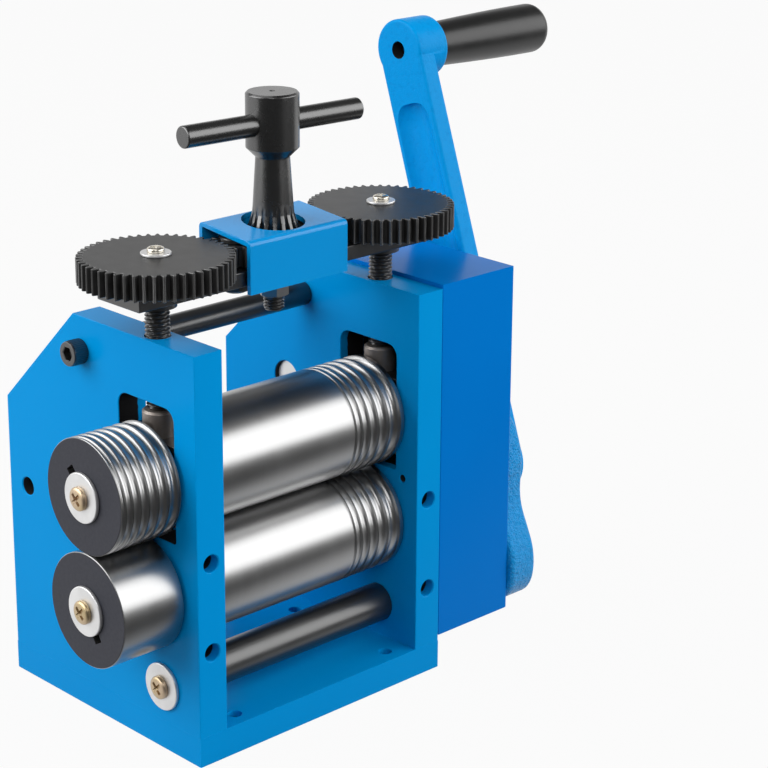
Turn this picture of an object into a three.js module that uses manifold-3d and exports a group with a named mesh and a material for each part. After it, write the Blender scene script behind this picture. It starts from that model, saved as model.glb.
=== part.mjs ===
// Hand-cranked combination rolling mill for jewellers' sheet and wire.
// Units are millimetres. The origin is the centre of the base's underside. +X runs along the rolls, from the
// open end to the gear housing, +Y runs from the front edges of the side plates to the back, and +Z is up.
import * as THREE from "three";
import { mergeVertices } from "three/addons/utils/BufferGeometryUtils.js";
import Module from "manifold-3d";

const wasm = await Module();
wasm.setup();

// Clearances
const runningGap = 0.3; // between a turning or sliding piece and what guides it
const seatGap = 0.06; // between pieces that are bolted or pressed together

// Side plates and base
const plateThickness = 13.3;
const plateDepth = 119;
const topEdgeDepth = 72.9; // flat top edge, before the chamfer towards the back
const backEdgeDrop = 44.8; // from the plates' tops to where the chamfer meets the back edge
const rollSpan = 100.6; // between the inner faces of the plates
const baseThickness = 12;
const lineSetback = 29; // from the front edges to the rolls, screws and gears, which share one plane
const windowWidth = 33;
const windowRise = 30.3; // from the upper roll's axis to the top of the windows
const windowHeadroom = 24.1; // from there to the plates' tops
const sillClearance = 6.5; // under the closed bearing blocks
const windowCorner = 5;
const benchHoleDiameter = 5.5;
const benchHoleSpacingX = 80.6;
const benchHoleFromFront = 7.5;
const benchHoleSpacingY = 55.6;
const baseScrewDiameter = 6;
const baseScrewHead = 11;
const baseScrewReach = 16;
const baseScrewInset = 9.5; // from the front and back edges
const guardHoleDiameter = 7;
const guardHoleDepth = 11;
const guardHolesLeft = [45.9, 82];
const guardHolesRight = [37.5, 76.3];
const rearHoleDiameter = 7.4;
const rearHoleDepth = 9;
const rearHolePlace = { back: 12, up: 83.8 };
const oilHoleDiameter = 3;
const oilHoleDepth = 5;
const oilHolePlace = { front: 8.6, up: 84.9 };

// Rolls
const rollDiameter = 45;
const rollNip = 0.2; // gap between the closed rolls
const lowerRollHeight = 64.7;
const rollEndPlay = 0.4;
const journalDiameter = 20;
const wireGrooves = [1.6, 2.2, 2.9, 3.6, 4.4, 5.2]; // widths of the half-round grooves, towards the gears
const narrowGroove = 3.5; // grooves under this width are drawn with fewer facets
const wireLand = 1.1;
const wireMargin = 2.6; // plain rim after the widest groove
const rimChamfer = 0.8;

// Side rollers, outside the left plate
const sideRollerLength = 28;
const sideRollerStandOff = 1.3;
const stubDiameter = 15.4;
const stubSetback = 0.5; // the stub ends short of the roller's face, so that the washer clamps the roller
const keyWidth = 3.6;
const keyHeight = 1.9;
const keywayDepth = 2.6;
const upperKeyAngle = 43;
const lowerKeyAngle = -105;
const sideGrooves = [4.2, 3.8, 3.4, 3, 2.6, 2.3, 2]; // widths, from the plate outwards
const sideLand = 0.9;
const sideWasherDiameter = 19.5;
const washerThickness = 1.5;
const sideScrewDiameter = 5;
const sideScrewReach = 14;
const sideScrewHead = 9;
const sideScrewHeadHeight = 3.4;

// Bushes, sliding blocks, thrust buttons and lift springs
const bushWall = 3;
const blockHeight = 32;
const blockRecess = 0.5; // each face of a block lies this far inside its plate
const thrustButtonDiameter = 13;
const thrustButtonTop = 26.1; // above the upper roll's axis
const thrustButtonSeat = 3;
const springDiameter = 8;
const springWire = 1.2;
const springCurls = 4;
const springSeatInSill = 6;
const springSeatInBlock = 2.5;
const springEndGap = 0.3;

// Tie rods
const upperTieDiameter = 10;
const upperTiePlace = { front: 67.8, below: 13.8 }; // below the plates' tops
const upperTieHead = 10;
const upperTieHeadHeight = 6.6;
const hexSocket = 5;
const hexSocketDepth = 3;
const lowerTieDiameter = 16;
const lowerTiePlace = { front: 21.7, up: 26.7 };
const tieScrewDiameter = 6;
const tieScrewReach = 12; // into the rod
const tieWasherDiameter = 19;
const tieSpigotDiameter = 10; // turned end of a tie rod, screwed into the right plate

// Gears that couple the two rolls
const rollGearTeeth = 18;
const rollGearWidth = 14;
const rollGearStandOff = 2;
const longAddendum = 2.9; // long teeth stay in mesh while the rolls open
const longDedendum = 3.3;
const rollGearBacklash = 0.45;
const gearSeatDiameter = 17;

// Reduction from the crank to the lower roll
const backGearDistance = 30; // between the crank's axis and the layshaft
const backGearLean = 16.5; // degrees that the layshaft lies forward of straight below
const crankPinionTeeth = 18;
const layshaftGearTeeth = 22;
const layshaftPinionTeeth = 13;
const finalGearTeeth = 27;
const finalGearWidth = 9;
const firstGearWidth = 8.4;
const gearStep = 1; // hub between the two rims of a double gear
const gearPlaneGap = 2.6;
const backGearBacklash = 0.3;
const layshaftDiameter = 12;
const crankShaftDiameter = 16;
const spigotDiameter = 8;
const spigotLength = 8;

// Gear housing and the casting that carries the crank
const housingDepthX = 41.4;
const housingRim = 2;
const housingWall = 3;
const housingBottom = 14.3;
const housingRise = 1.6; // of the housing's top over the plates
const stayDiameter = 14.4;
const stayPlace = { front: 79.3, up: 110.5 };
const staySetback = 2; // of the stay's end behind the plate's inner face
const stayScrewDiameter = 6;
const stayScrewHead = 10;
const bracketThickness = 14.9;
const bracketUpperRadius = 21.2;
const bracketLowerRadius = 20.3;
const bracketWaist = 33;
const bracketEndWall = 3;
const bracketScrewDiameter = 5;
const bracketScrewHead = 8.5;
const bracketScrewHeadHeight = 5;
const bracketScrewOffset = 14;

// Crank
const crankLength = 185;
const crankLean = 17.6; // degrees behind upright, as it is left to rest
const crankGap = 0.5; // between the casting and the arm
const armThickness = 9.2;
const hubRadius = 15;
const bossRadius = 13.2;
const bossLength = 17.4;
const armWidthAtBoss = 25;
const armWidthAtHub = 21;
const pocketDepth = 2.2;
const pocketRadius = 6.6;
const pocketFromBoss = 36;
const pocketFromHub = 24;
const crankBoltDiameter = 10;
const crankNutAcross = 16;
const crankNutHeight = 8;
const gripLength = 68.4;
const gripNearDiameter = 19;
const gripFarDiameter = 22;
const gripBoltDiameter = 8;
const gripBoltHead = 12;
const gripBoltHeadHeight = 5;
const bossHoleDiameter = 5.4;
const bossThreadReach = 11;

// Bridge, pressure screws and top gears
const topPinionTeeth = 17;
const idlerTeeth = 17;
const screwGearTeeth = 50;
const topGearBacklash = 0.22;
const bridgeRise = 14.8; // from the plates' tops to the bridge, with the rolls closed
const topGearWidth = 10;
const idlerWidth = 8;
const bridgeThickness = 6;
const bridgeWidth = 24.6;
const bridgeOverhang = 17.8; // beyond each pressure screw
const pressureScrewDiameter = 9.6;
const collarDiameter = 15;
const collarHeight = 3;
const screwNeckDiameter = 9.2;
const screwSquare = 6.4;
const gearScrewDiameter = 4;
const gearScrewReach = 8;
const gearScrewHead = 7.4;
const gearScrewHeadHeight = 2.4;
const gearWasherDiameter = 11.5;
const gearWasherThickness = 1;
const idlerPinDiameter = 8;
const idlerPinHead = 11;
const idlerPinHeadHeight = 1.6;
const idlerNutAcross = 13;
const idlerNutHeight = 6.8;

// T-handle
const spindleJournal = 10;
const spindleStub = 8;
const spindleStubReach = 16.3; // below the bridge
const spindleNutReach = 11.9; // of the nut's lower face below the bridge
const spindleNutAcross = 13;
const spindleNutHeight = 7;
const spindleFlangeDiameter = 16;
const neckBottomDiameter = 16;
const neckTopDiameter = 13.3;
const neckLength = 18.6; // from the flare to the hub's foot
const hubDiameter = 20.6;
const hubFoot = 4; // height of the cone under the hub
const hubLength = 21.4;
const flareHeight = 9;
const crossBarDiameter = 8.6;
const crossBarLength = 83;
const crossBarRise = 9.3; // from the hub's lower end to the cross bar's axis
const crossBarTurn = -3.7;
const barChamfer = 0.8;
const centreMark = 2.4;

// Cover over the idler gears
const coverLength = 49.4;
const coverSheet = 2;
const coverHeadroom = 2.8; // from the gears' tops to the cover's top
const coverDrop = 1.4; // below the bridge's lower face
const coverHoleDiameter = 24.6;
const coverBend = 3.2; // outer radius of the two bends

// Facets round a circle
const fine = 22;
const medium = 14;
const coarse = 10;
const straightFlankTeeth = 18; // from this many teeth, and under this module, the flanks are drawn straight
const straightFlankModule = 1.2;

// Places that follow from the sizes above
const plateInner = rollSpan / 2;
const plateOuter = plateInner + plateThickness;
const plateMiddle = plateInner + plateThickness / 2;
const frontEdge = -plateDepth / 2;
const backEdge = plateDepth / 2;
const lineY = frontEdge + lineSetback;
const upperRollHeight = lowerRollHeight + rollDiameter + rollNip;
const windowTop = upperRollHeight + windowRise;
const windowSill = upperRollHeight - blockHeight / 2 - sillClearance;
const plateTop = windowTop + windowHeadroom;
const backEdgeTop = plateTop - backEdgeDrop;
const upperTieHeight = plateTop - upperTiePlace.below;
const journalEnd = plateOuter + sideRollerStandOff - runningGap;
const sideRollerInner = plateOuter + sideRollerStandOff;
const sideRollerOuter = sideRollerInner + sideRollerLength;
const rollGearStart = plateOuter + rollGearStandOff;
const finalGearStart = rollGearStart + rollGearWidth + gearStep;
const finalGearEnd = finalGearStart + finalGearWidth;
const firstGearStart = finalGearEnd + gearPlaneGap;
const firstGearEnd = firstGearStart + firstGearWidth;
const housingOuter = plateOuter + housingDepthX;
const bracketOuter = housingOuter + seatGap + bracketThickness;
const armInner = bracketOuter + crankGap;
const armOuter = armInner + armThickness;
const layshaftAngle = -90 - backGearLean;
const layshaftY = lineY + backGearDistance * Math.cos(THREE.MathUtils.degToRad(layshaftAngle));
const layshaftZ = lowerRollHeight + backGearDistance * Math.sin(THREE.MathUtils.degToRad(layshaftAngle));
const rollGearModule = rollDiameter / rollGearTeeth;
const firstModule = (2 * backGearDistance) / (crankPinionTeeth + layshaftGearTeeth);
const finalModule = (2 * backGearDistance) / (layshaftPinionTeeth + finalGearTeeth);
const topModule = (2 * plateMiddle) / (topPinionTeeth + 2 * idlerTeeth + screwGearTeeth);
const idlerX = (topModule * (topPinionTeeth + idlerTeeth)) / 2;
const bridgeBottom = plateTop + bridgeRise;
const bridgeTop = bridgeBottom + bridgeThickness;
const topGearBottom = bridgeTop + runningGap;
const topGearTop = topGearBottom + topGearWidth;
const spindleStubBottom = bridgeBottom - spindleStubReach;
const spindleNutBottom = bridgeBottom - spindleNutReach;
const neckTop = topGearTop + flareHeight + neckLength;
const hubBottom = neckTop + hubFoot;
const hubTop = hubBottom + hubLength;
const crossBarHeight = hubBottom + crossBarRise;
const coverTop = topGearTop + coverHeadroom;
const coverBottom = bridgeBottom - coverDrop;
const coverWidth = bridgeWidth + 2 * (runningGap + coverSheet);
const springBottom = windowSill - springSeatInSill + springEndGap;
const blockBottom = upperRollHeight - blockHeight / 2;
const springTop = blockBottom + springSeatInBlock - springEndGap;

// Finishes
const bluePaint = new THREE.MeshStandardMaterial({ color: 0x0a8ad2, roughness: 0.38, metalness: 0 });
const blueCasting = new THREE.MeshStandardMaterial({ color: 0x0a86cc, roughness: 0.5, metalness: 0 });
const polishedSteel = new THREE.MeshStandardMaterial({ color: 0xb9b9bd, roughness: 0.25, metalness: 1 });
const plainSteel = new THREE.MeshStandardMaterial({ color: 0x8b8b90, roughness: 0.4, metalness: 1 });
const blackSteel = new THREE.MeshStandardMaterial({ color: 0x2a2a2e, roughness: 0.45, metalness: 0.6 });
const zincPlate = new THREE.MeshStandardMaterial({ color: 0xd2d4d8, roughness: 0.35, metalness: 0.8 });
const yellowZinc = new THREE.MeshStandardMaterial({ color: 0xc9b27a, roughness: 0.35, metalness: 0.8 });
const bronze = new THREE.MeshStandardMaterial({ color: 0xa8763a, roughness: 0.4, metalness: 0.9 });
const blackPlastic = new THREE.MeshStandardMaterial({ color: 0x1b1b1d, roughness: 0.45, metalness: 0 });

// Turns a closed geometry into a solid that can be cut and joined.
function solid(geometry) {
  const bare = geometry.clone();
  bare.deleteAttribute("normal");
  bare.deleteAttribute("uv");
  const merged = mergeVertices(bare, 1e-4);
  const corners = merged.index.array;
  const triVerts = [];
  for (let i = 0; i < corners.length; i += 3) {
    const [a, b, c] = corners.slice(i, i + 3);
    if (a !== b && b !== c && c !== a) triVerts.push(a, b, c);
  }
  const build = (order) =>
    new wasm.Manifold(
      new wasm.Mesh({
        numProp: 3,
        vertProperties: merged.attributes.position.array,
        triVerts: new Uint32Array(order),
      }),
    );
  const made = build(triVerts);
  return made.volume() < 0 ? build(triVerts.reverse()) : made;
}

// Turns a solid back into a flat-shaded geometry.
function geometryOf(body) {
  const mesh = body.getMesh();
  const geometry = new THREE.BufferGeometry();
  geometry.setAttribute("position", new THREE.BufferAttribute(mesh.vertProperties.slice(), 3));
  geometry.setIndex(new THREE.BufferAttribute(mesh.triVerts.slice(), 1));
  const flat = geometry.toNonIndexed();
  flat.computeVertexNormals();
  return flat;
}

// Places a named piece made about its own origin.
function piece(name, body, material, at = [0, 0, 0], turnX = 0) {
  const mesh = new THREE.Mesh(geometryOf(body), material);
  mesh.name = name;
  mesh.position.set(...at);
  mesh.rotation.x = turnX;
  return mesh;
}

// A matrix that lays the drawing plane square to an axis, with the extrusion running along that axis.
function facing(axis) {
  const x = new THREE.Vector3(1, 0, 0);
  const y = new THREE.Vector3(0, 1, 0);
  const z = new THREE.Vector3(0, 0, 1);
  if (axis === "x") return new THREE.Matrix4().makeBasis(y, z, x);
  if (axis === "y") return new THREE.Matrix4().makeBasis(z, x, y);
  return new THREE.Matrix4().makeBasis(x, y, z);
}

// An outline drawn square to an axis, as (y, z) for x, (z, x) for y and (x, y) for z, extruded between two stations.
function prism(axis, outline, from, to, curveSegments = 4) {
  const shape = outline instanceof THREE.Shape ? outline : new THREE.Shape(outline);
  const geometry = new THREE.ExtrudeGeometry(shape, { depth: to - from, bevelEnabled: false, curveSegments });
  geometry.translate(0, 0, from);
  return solid(geometry.applyMatrix4(facing(axis)));
}

// A solid of revolution about an axis, from [station, radius] pairs.
function turned(axis, profile, sides = medium) {
  const first = profile[0];
  const last = profile[profile.length - 1];
  const points = [[first[0], 0], ...profile, [last[0], 0]];
  const outline = points.map(([station, radius]) => new THREE.Vector2(radius, station));
  const geometry = new THREE.LatheGeometry(outline, sides);
  geometry.rotateX(Math.PI / 2);
  return solid(geometry.applyMatrix4(facing(axis)));
}

// A round bar between two stations on an axis, moved sideways by (u, v) in the drawing plane.
function rod(axis, from, to, diameter, sides = medium, u = 0, v = 0) {
  const bar = turned(axis, [[from, diameter / 2], [to, diameter / 2]], sides);
  const shift = new THREE.Vector3(u, v, 0).applyMatrix4(facing(axis));
  return bar.translate(shift.x, shift.y, shift.z);
}

// A box between two corners.
function box(low, high) {
  const size = high.map((value, i) => value - low[i]);
  const geometry = new THREE.BoxGeometry(...size);
  geometry.translate(...low.map((value, i) => value + size[i] / 2));
  return solid(geometry);
}

// A regular polygon, given across its flats.
function hexagon(acrossFlats) {
  const corner = acrossFlats / 2 / Math.cos(Math.PI / 6);
  const angles = [0, 1, 2, 3, 4, 5].map((i) => (i * Math.PI) / 3);
  return angles.map((a) => new THREE.Vector2(corner * Math.cos(a), corner * Math.sin(a)));
}

// A rectangle with its own corner radius at the bottom and at the top.
function roundedWindow(left, right, bottom, top, lowRadius, highRadius) {
  const shape = new THREE.Shape();
  shape.moveTo(left + lowRadius, bottom);
  shape.lineTo(right - lowRadius, bottom);
  shape.absarc(right - lowRadius, bottom + lowRadius, lowRadius, -Math.PI / 2, 0, false);
  shape.lineTo(right, top - highRadius);
  shape.absarc(right - highRadius, top - highRadius, highRadius, 0, Math.PI / 2, false);
  shape.lineTo(left + highRadius, top);
  shape.absarc(left + highRadius, top - highRadius, highRadius, Math.PI / 2, Math.PI, false);
  shape.lineTo(left, bottom + lowRadius);
  shape.absarc(left + lowRadius, bottom + lowRadius, lowRadius, Math.PI, 1.5 * Math.PI, false);
  return shape;
}

// Involute spur teeth. One tooth is centred on the angle phase. Below the base circle the flank is undercut.
function gearOutline({ teeth, module, addendum, dedendum, backlash, phase = 0, pressure = 20 }) {
  const pitchRadius = (teeth * module) / 2;
  const pressureAngle = THREE.MathUtils.degToRad(pressure);
  const baseRadius = pitchRadius * Math.cos(pressureAngle);
  const involute = (angle) => Math.tan(angle) - angle;
  const halfTooth = Math.PI / (2 * teeth) - backlash / (4 * pitchRadius);
  const undercut = 0.35;
  const halfWidthAt = (radius) => {
    const widest = halfTooth + involute(pressureAngle);
    if (radius > baseRadius) return widest - involute(Math.acos(baseRadius / radius));
    return widest - (undercut * (baseRadius - radius)) / pitchRadius;
  };
  const tip = pitchRadius + addendum;
  const root = pitchRadius - dedendum;
  const bend = Math.max(root, baseRadius) * 0.5 + pitchRadius * 0.5;
  const straight = teeth >= straightFlankTeeth || module < straightFlankModule;
  const radii = straight ? [root, tip] : [root, bend, tip];
  const points = [];
  for (let tooth = 0; tooth < teeth; tooth += 1) {
    const centre = phase + (tooth * 2 * Math.PI) / teeth;
    const flank = (radius, side) => {
      const angle = centre + side * halfWidthAt(radius);
      points.push(new THREE.Vector2(radius * Math.cos(angle), radius * Math.sin(angle)));
    };
    radii.forEach((radius) => flank(radius, -1));
    radii.slice().reverse().forEach((radius) => flank(radius, 1));
  }
  return points;
}

// Standard teeth of a module, with one tooth centred on the angle phase.
function standardTeeth(teeth, module, backlash, phase) {
  return gearOutline({ teeth, module, addendum: module, dedendum: 1.25 * module, backlash, phase });
}

// Half-round grooves of the given widths cut in a rim, as profile points.
function groovedProfile(start, widths, land, radius) {
  const points = [];
  let station = start;
  widths.forEach((width) => {
    const steps = width < narrowGroove ? 2 : 3;
    for (let i = 0; i <= steps; i += 1) {
      const angle = (i * Math.PI) / steps;
      const along = station + (width / 2) * (1 - Math.cos(angle));
      points.push([along, radius - (width / 2) * Math.sin(angle)]);
    }
    station += width + land;
  });
  return points;
}

function sum(values) {
  return values.reduce((total, value) => total + value, 0);
}

// A pan-head screw whose head sits on the station seat and whose shank runs the other way.
function panScrew(axis, seat, direction, { head, headHeight, shank, reach }) {
  const crown = seat + direction * headHeight;
  const profile = [
    [seat - direction * reach, shank / 2],
    [seat, shank / 2],
    [seat, head / 2],
    [seat + direction * headHeight * 0.5, head / 2],
    [seat + direction * headHeight * 0.85, head * 0.41],
    [crown, head * 0.25],
  ];
  return turned(axis, profile, medium);
}

// A socket-head cap screw, in the same way.
function capScrew(axis, seat, direction, { head, headHeight, shank, reach, socket, socketDepth }) {
  const crown = seat + direction * headHeight;
  const chamfer = 0.06 * head;
  const profile = [
    [seat - direction * reach, shank / 2],
    [seat, shank / 2],
    [seat, head / 2],
    [crown - direction * chamfer, head / 2],
    [crown, head / 2 - chamfer],
  ];
  const floor = crown - direction * socketDepth;
  const key = prism(axis, hexagon(socket), Math.min(floor, crown + direction), Math.max(floor, crown + direction));
  return turned(axis, profile, medium).subtract(key);
}

// A plain washer with its bore.
function washer(axis, from, to, diameter, bore, sides = medium) {
  return rod(axis, from, to, diameter, sides).subtract(rod(axis, from - 1, to + 1, bore, sides));
}

// Side plates and the base

// The pentagon shared by the side plates and the gear housing, drawn as (y, z).
function sideOutline(bottom, rise, inset) {
  const slope = (plateTop - backEdgeTop) / (plateDepth - topEdgeDepth);
  const slopeLength = Math.hypot(1, slope);
  const chamferShift = inset * slopeLength;
  const left = frontEdge + inset;
  const right = backEdge - inset;
  const top = plateTop + rise - inset;
  const chamferAt = (y) => backEdgeTop + rise + slope * (backEdge - y) - chamferShift;
  const topCorner = backEdge - (top + chamferShift - backEdgeTop - rise) / slope;
  return [
    new THREE.Vector2(left, bottom + inset),
    new THREE.Vector2(right, bottom + inset),
    new THREE.Vector2(right, chamferAt(right)),
    new THREE.Vector2(topCorner, top),
    new THREE.Vector2(left, top),
  ];
}

// What both side plates have: the outline, the window, the screw's bore and the lower roll's bore.
function sidePlate(inner, outer, guardHoles) {
  const [low, high] = [Math.min(inner, outer), Math.max(inner, outer)];
  const middle = (low + high) / 2;
  const window = roundedWindow(
    lineY - windowWidth / 2,
    lineY + windowWidth / 2,
    windowSill,
    windowTop,
    windowCorner * 0.3,
    windowCorner,
  );
  let plate = prism("x", sideOutline(baseThickness + seatGap, 0, 0), low, high);
  plate = plate.subtract(prism("x", window, low - 1, high + 1));
  const screwBore = pressureScrewDiameter + 2 * runningGap;
  plate = plate.subtract(rod("z", windowTop - 1, plateTop + 1, screwBore, coarse, middle, lineY));
  const bushBore = journalDiameter + 2 * (runningGap + bushWall + seatGap);
  plate = plate.subtract(rod("x", low - 1, high + 1, bushBore, fine, lineY, lowerRollHeight));
  const sillBore = springDiameter + 2 * runningGap;
  const sillFloor = windowSill - springSeatInSill;
  plate = plate.subtract(rod("z", sillFloor, windowSill + 1, sillBore, coarse, middle, lineY));
  guardHoles.forEach((up) => {
    const deep = frontEdge + guardHoleDepth;
    plate = plate.subtract(rod("y", frontEdge - 1, deep, guardHoleDiameter, coarse, up, middle));
  });
  baseScrewPlaces().forEach((y) => {
    const bore = baseScrewDiameter + 2 * seatGap;
    plate = plate.subtract(rod("z", 0, baseThickness + baseScrewReach + 1, bore, coarse, middle, y));
  });
  return plate;
}

function baseScrewPlaces() {
  return [frontEdge + baseScrewInset, backEdge - baseScrewInset];
}

function leftPlate() {
  const upper = { y: frontEdge + upperTiePlace.front, z: upperTieHeight };
  const lower = { y: frontEdge + lowerTiePlace.front, z: lowerTiePlace.up };
  const screwBore = tieScrewDiameter + 2 * runningGap;
  const rearY = backEdge - rearHolePlace.back;
  return sidePlate(-plateInner, -plateOuter, guardHolesLeft)
    .subtract(rod("x", -plateOuter - 1, -plateInner + 1, screwBore, coarse, upper.y, upper.z))
    .subtract(rod("x", -plateOuter - 1, -plateInner + 1, screwBore, coarse, lower.y, lower.z))
    .subtract(rod("x", -plateOuter - 1, -plateOuter + rearHoleDepth, rearHoleDiameter, coarse, rearY, rearHolePlace.up));
}

function rightPlate() {
  const upper = { y: frontEdge + upperTiePlace.front, z: upperTieHeight };
  const lower = { y: frontEdge + lowerTiePlace.front, z: lowerTiePlace.up };
  const stay = { y: frontEdge + stayPlace.front, z: stayPlace.up };
  const oilY = frontEdge + oilHolePlace.front;
  const spigotBore = tieSpigotDiameter + 2 * seatGap;
  const upperBore = upperTieDiameter * 0.8 + 2 * seatGap;
  return sidePlate(plateInner, plateOuter, guardHolesRight)
    .subtract(rod("x", plateInner - 1, plateOuter + 1, upperBore, medium, upper.y, upper.z))
    .subtract(rod("x", plateInner - 1, plateOuter + 1, spigotBore, medium, lower.y, lower.z))
    .subtract(rod("x", plateInner - 1, plateOuter + 1, stayDiameter + 4 * seatGap, medium, stay.y, stay.z))
    .subtract(rod("x", plateInner - 1, plateInner + oilHoleDepth, oilHoleDiameter, coarse, oilY, oilHolePlace.up));
}

function basePlate() {
  let base = box([-plateOuter, frontEdge, 0], [plateOuter, backEdge, baseThickness]);
  const frontRow = frontEdge + benchHoleFromFront;
  [-1, 1].forEach((side) => {
    [frontRow, frontRow + benchHoleSpacingY].forEach((y) => {
      const x = (side * benchHoleSpacingX) / 2;
      base = base.subtract(rod("z", -1, baseThickness + 1, benchHoleDiameter, coarse, x, y));
    });
    baseScrewPlaces().forEach((y) => {
      const bore = baseScrewDiameter + 2 * seatGap;
      const head = baseScrewHead + 2 * seatGap;
      const sink = (head - bore) / 2;
      const cone = turned("z", [[-1, head / 2], [seatGap, head / 2], [sink + seatGap, bore / 2]], coarse);
      base = base.subtract(rod("z", -1, baseThickness + 1, bore, coarse, side * plateMiddle, y));
      base = base.subtract(cone.translate(side * plateMiddle, y, 0));
    });
  });
  return base;
}

// A countersunk screw, flush with the underside of the base.
function baseScrew() {
  const sink = (baseScrewHead - baseScrewDiameter) / 2;
  const profile = [
    [seatGap, baseScrewHead / 2 - seatGap],
    [sink + seatGap, baseScrewDiameter / 2],
    [baseThickness + baseScrewReach, baseScrewDiameter / 2],
  ];
  return turned("z", profile, coarse);
}

function frameStructure() {
  const group = new THREE.Group();
  group.add(piece("base_plate", basePlate(), bluePaint));
  group.add(piece("left_side_plate", leftPlate(), bluePaint));
  group.add(piece("right_side_plate", rightPlate(), bluePaint));
  const sides = { left: -plateMiddle, right: plateMiddle };
  Object.entries(sides).forEach(([side, x]) => {
    const [front, rear] = baseScrewPlaces();
    group.add(piece(`base_screw_${side}_front`, baseScrew(), plainSteel, [x, front, 0]));
    group.add(piece(`base_screw_${side}_rear`, baseScrew(), plainSteel, [x, rear, 0]));
  });
  return group;
}

// Tie rods

// A rod between the plates: tapped for a screw at the left end, with a threaded spigot at the right end.
function tieRod(diameter, spigot) {
  const left = -plateInner + seatGap;
  const right = plateInner - seatGap;
  const profile = [
    [left, diameter / 2],
    [right, diameter / 2],
    [right, spigot / 2],
    [plateOuter - 1, spigot / 2],
  ];
  const tap = rod("x", left - 1, left + tieScrewReach + 1, tieScrewDiameter + 2 * seatGap, medium);
  return turned("x", profile, medium).subtract(tap);
}

function tieRods() {
  const group = new THREE.Group();
  const upperAt = [0, frontEdge + upperTiePlace.front, upperTieHeight];
  const lowerAt = [0, frontEdge + lowerTiePlace.front, lowerTiePlace.up];
  const upperScrew = capScrew("x", -plateOuter - seatGap, -1, {
    head: upperTieHead,
    headHeight: upperTieHeadHeight,
    shank: tieScrewDiameter,
    reach: plateThickness + tieScrewReach,
    socket: hexSocket,
    socketDepth: hexSocketDepth,
  });
  const washerFace = -plateOuter - seatGap - washerThickness;
  const lowerScrew = panScrew("x", washerFace - seatGap, -1, {
    head: sideScrewHead,
    headHeight: sideScrewHeadHeight,
    shank: tieScrewDiameter,
    reach: plateThickness + washerThickness + tieScrewReach,
  });
  const tieWasher = washer("x", washerFace, -plateOuter - seatGap, tieWasherDiameter, tieScrewDiameter + 2 * seatGap);
  group.add(piece("upper_tie_rod", tieRod(upperTieDiameter, upperTieDiameter * 0.8), blackSteel, upperAt));
  group.add(piece("upper_tie_screw", upperScrew, blackSteel, upperAt));
  group.add(piece("lower_tie_rod", tieRod(lowerTieDiameter, tieSpigotDiameter), blackSteel, lowerAt));
  group.add(piece("lower_tie_washer", tieWasher, zincPlate, lowerAt));
  group.add(piece("lower_tie_screw", lowerScrew, yellowZinc, lowerAt));
  return group;
}

// Rolls

// The turned profile of a main roll, with its journals, the stub for the side roller and the gear seat.
function rollProfile(gearSeatEnd) {
  const radius = rollDiameter / 2;
  const face = plateInner - rollEndPlay;
  const grooveRun = sum(wireGrooves) + wireLand * (wireGrooves.length - 1);
  const firstGroove = face - wireMargin - grooveRun;
  return [
    [-sideRollerOuter + stubSetback, stubDiameter / 2],
    [-journalEnd, stubDiameter / 2],
    [-journalEnd, journalDiameter / 2],
    [-face, journalDiameter / 2],
    [-face, radius - rimChamfer],
    [-face + rimChamfer, radius],
    ...groovedProfile(firstGroove, wireGrooves, wireLand, radius),
    [face - rimChamfer, radius],
    [face, radius - rimChamfer],
    [face, journalDiameter / 2],
    [journalEnd, journalDiameter / 2],
    [journalEnd, gearSeatDiameter / 2],
    [gearSeatEnd, gearSeatDiameter / 2],
  ];
}

// A block along X that stands out of a bar of the given radius at an angle from +Y, used for keys and keyways.
function keyBar(from, to, radius, height, width, degrees) {
  const bar = box([from, radius * 0.6, -width / 2], [to, radius + height, width / 2]);
  return bar.rotate([degrees, 0, 0]);
}

function mainRoll(gearSeatEnd, keyAngle) {
  const keyEnd = -sideRollerOuter + stubSetback;
  const key = keyBar(keyEnd, -sideRollerInner, stubDiameter / 2, keyHeight, keyWidth, keyAngle);
  const tapEnd = keyEnd + sideScrewReach;
  const tap = rod("x", keyEnd - 1, tapEnd, sideScrewDiameter + 2 * seatGap, medium);
  return turned("x", rollProfile(gearSeatEnd), fine).add(key).subtract(tap);
}

function sideRoller(widths, keyAngle) {
  const radius = rollDiameter / 2;
  const grooveRun = sum(widths) + sideLand * Math.max(0, widths.length - 1);
  const firstGroove = (sideRollerLength - grooveRun) / 2;
  const edge = Math.min(rimChamfer / 2, firstGroove / 2);
  const cut = groovedProfile(firstGroove, widths, sideLand, radius);
  const profile = [
    [0, radius - edge],
    [edge, radius],
    ...cut,
    [sideRollerLength - edge, radius],
    [sideRollerLength, radius - edge],
  ].map(([along, r]) => [-sideRollerInner - along, r]);
  const bore = rod("x", -sideRollerOuter - 1, -sideRollerInner + 1, stubDiameter + 2 * seatGap, fine);
  const keyway = keyBar(
    -sideRollerOuter - 1,
    -sideRollerInner + 1,
    stubDiameter / 2,
    keywayDepth,
    keyWidth + 2 * seatGap,
    keyAngle,
  );
  return turned("x", profile, fine).subtract(bore).subtract(keyway);
}

function sideWasher() {
  const inner = -sideRollerOuter - seatGap;
  return washer("x", inner - washerThickness, inner, sideWasherDiameter, sideScrewDiameter + 2 * seatGap);
}

function sideScrew() {
  return panScrew("x", -sideRollerOuter - 2 * seatGap - washerThickness, -1, {
    head: sideScrewHead,
    headHeight: sideScrewHeadHeight,
    shank: sideScrewDiameter,
    reach: washerThickness + sideScrewReach - 1,
  });
}

// The long-toothed gear on a roll's gear seat, with one tooth centred on the angle phase.
function rollGear(phase) {
  const outline = gearOutline({
    teeth: rollGearTeeth,
    module: rollGearModule,
    addendum: longAddendum,
    dedendum: longDedendum,
    backlash: rollGearBacklash,
    phase,
  });
  return prism("x", outline, rollGearStart, rollGearStart + rollGearWidth);
}

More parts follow.
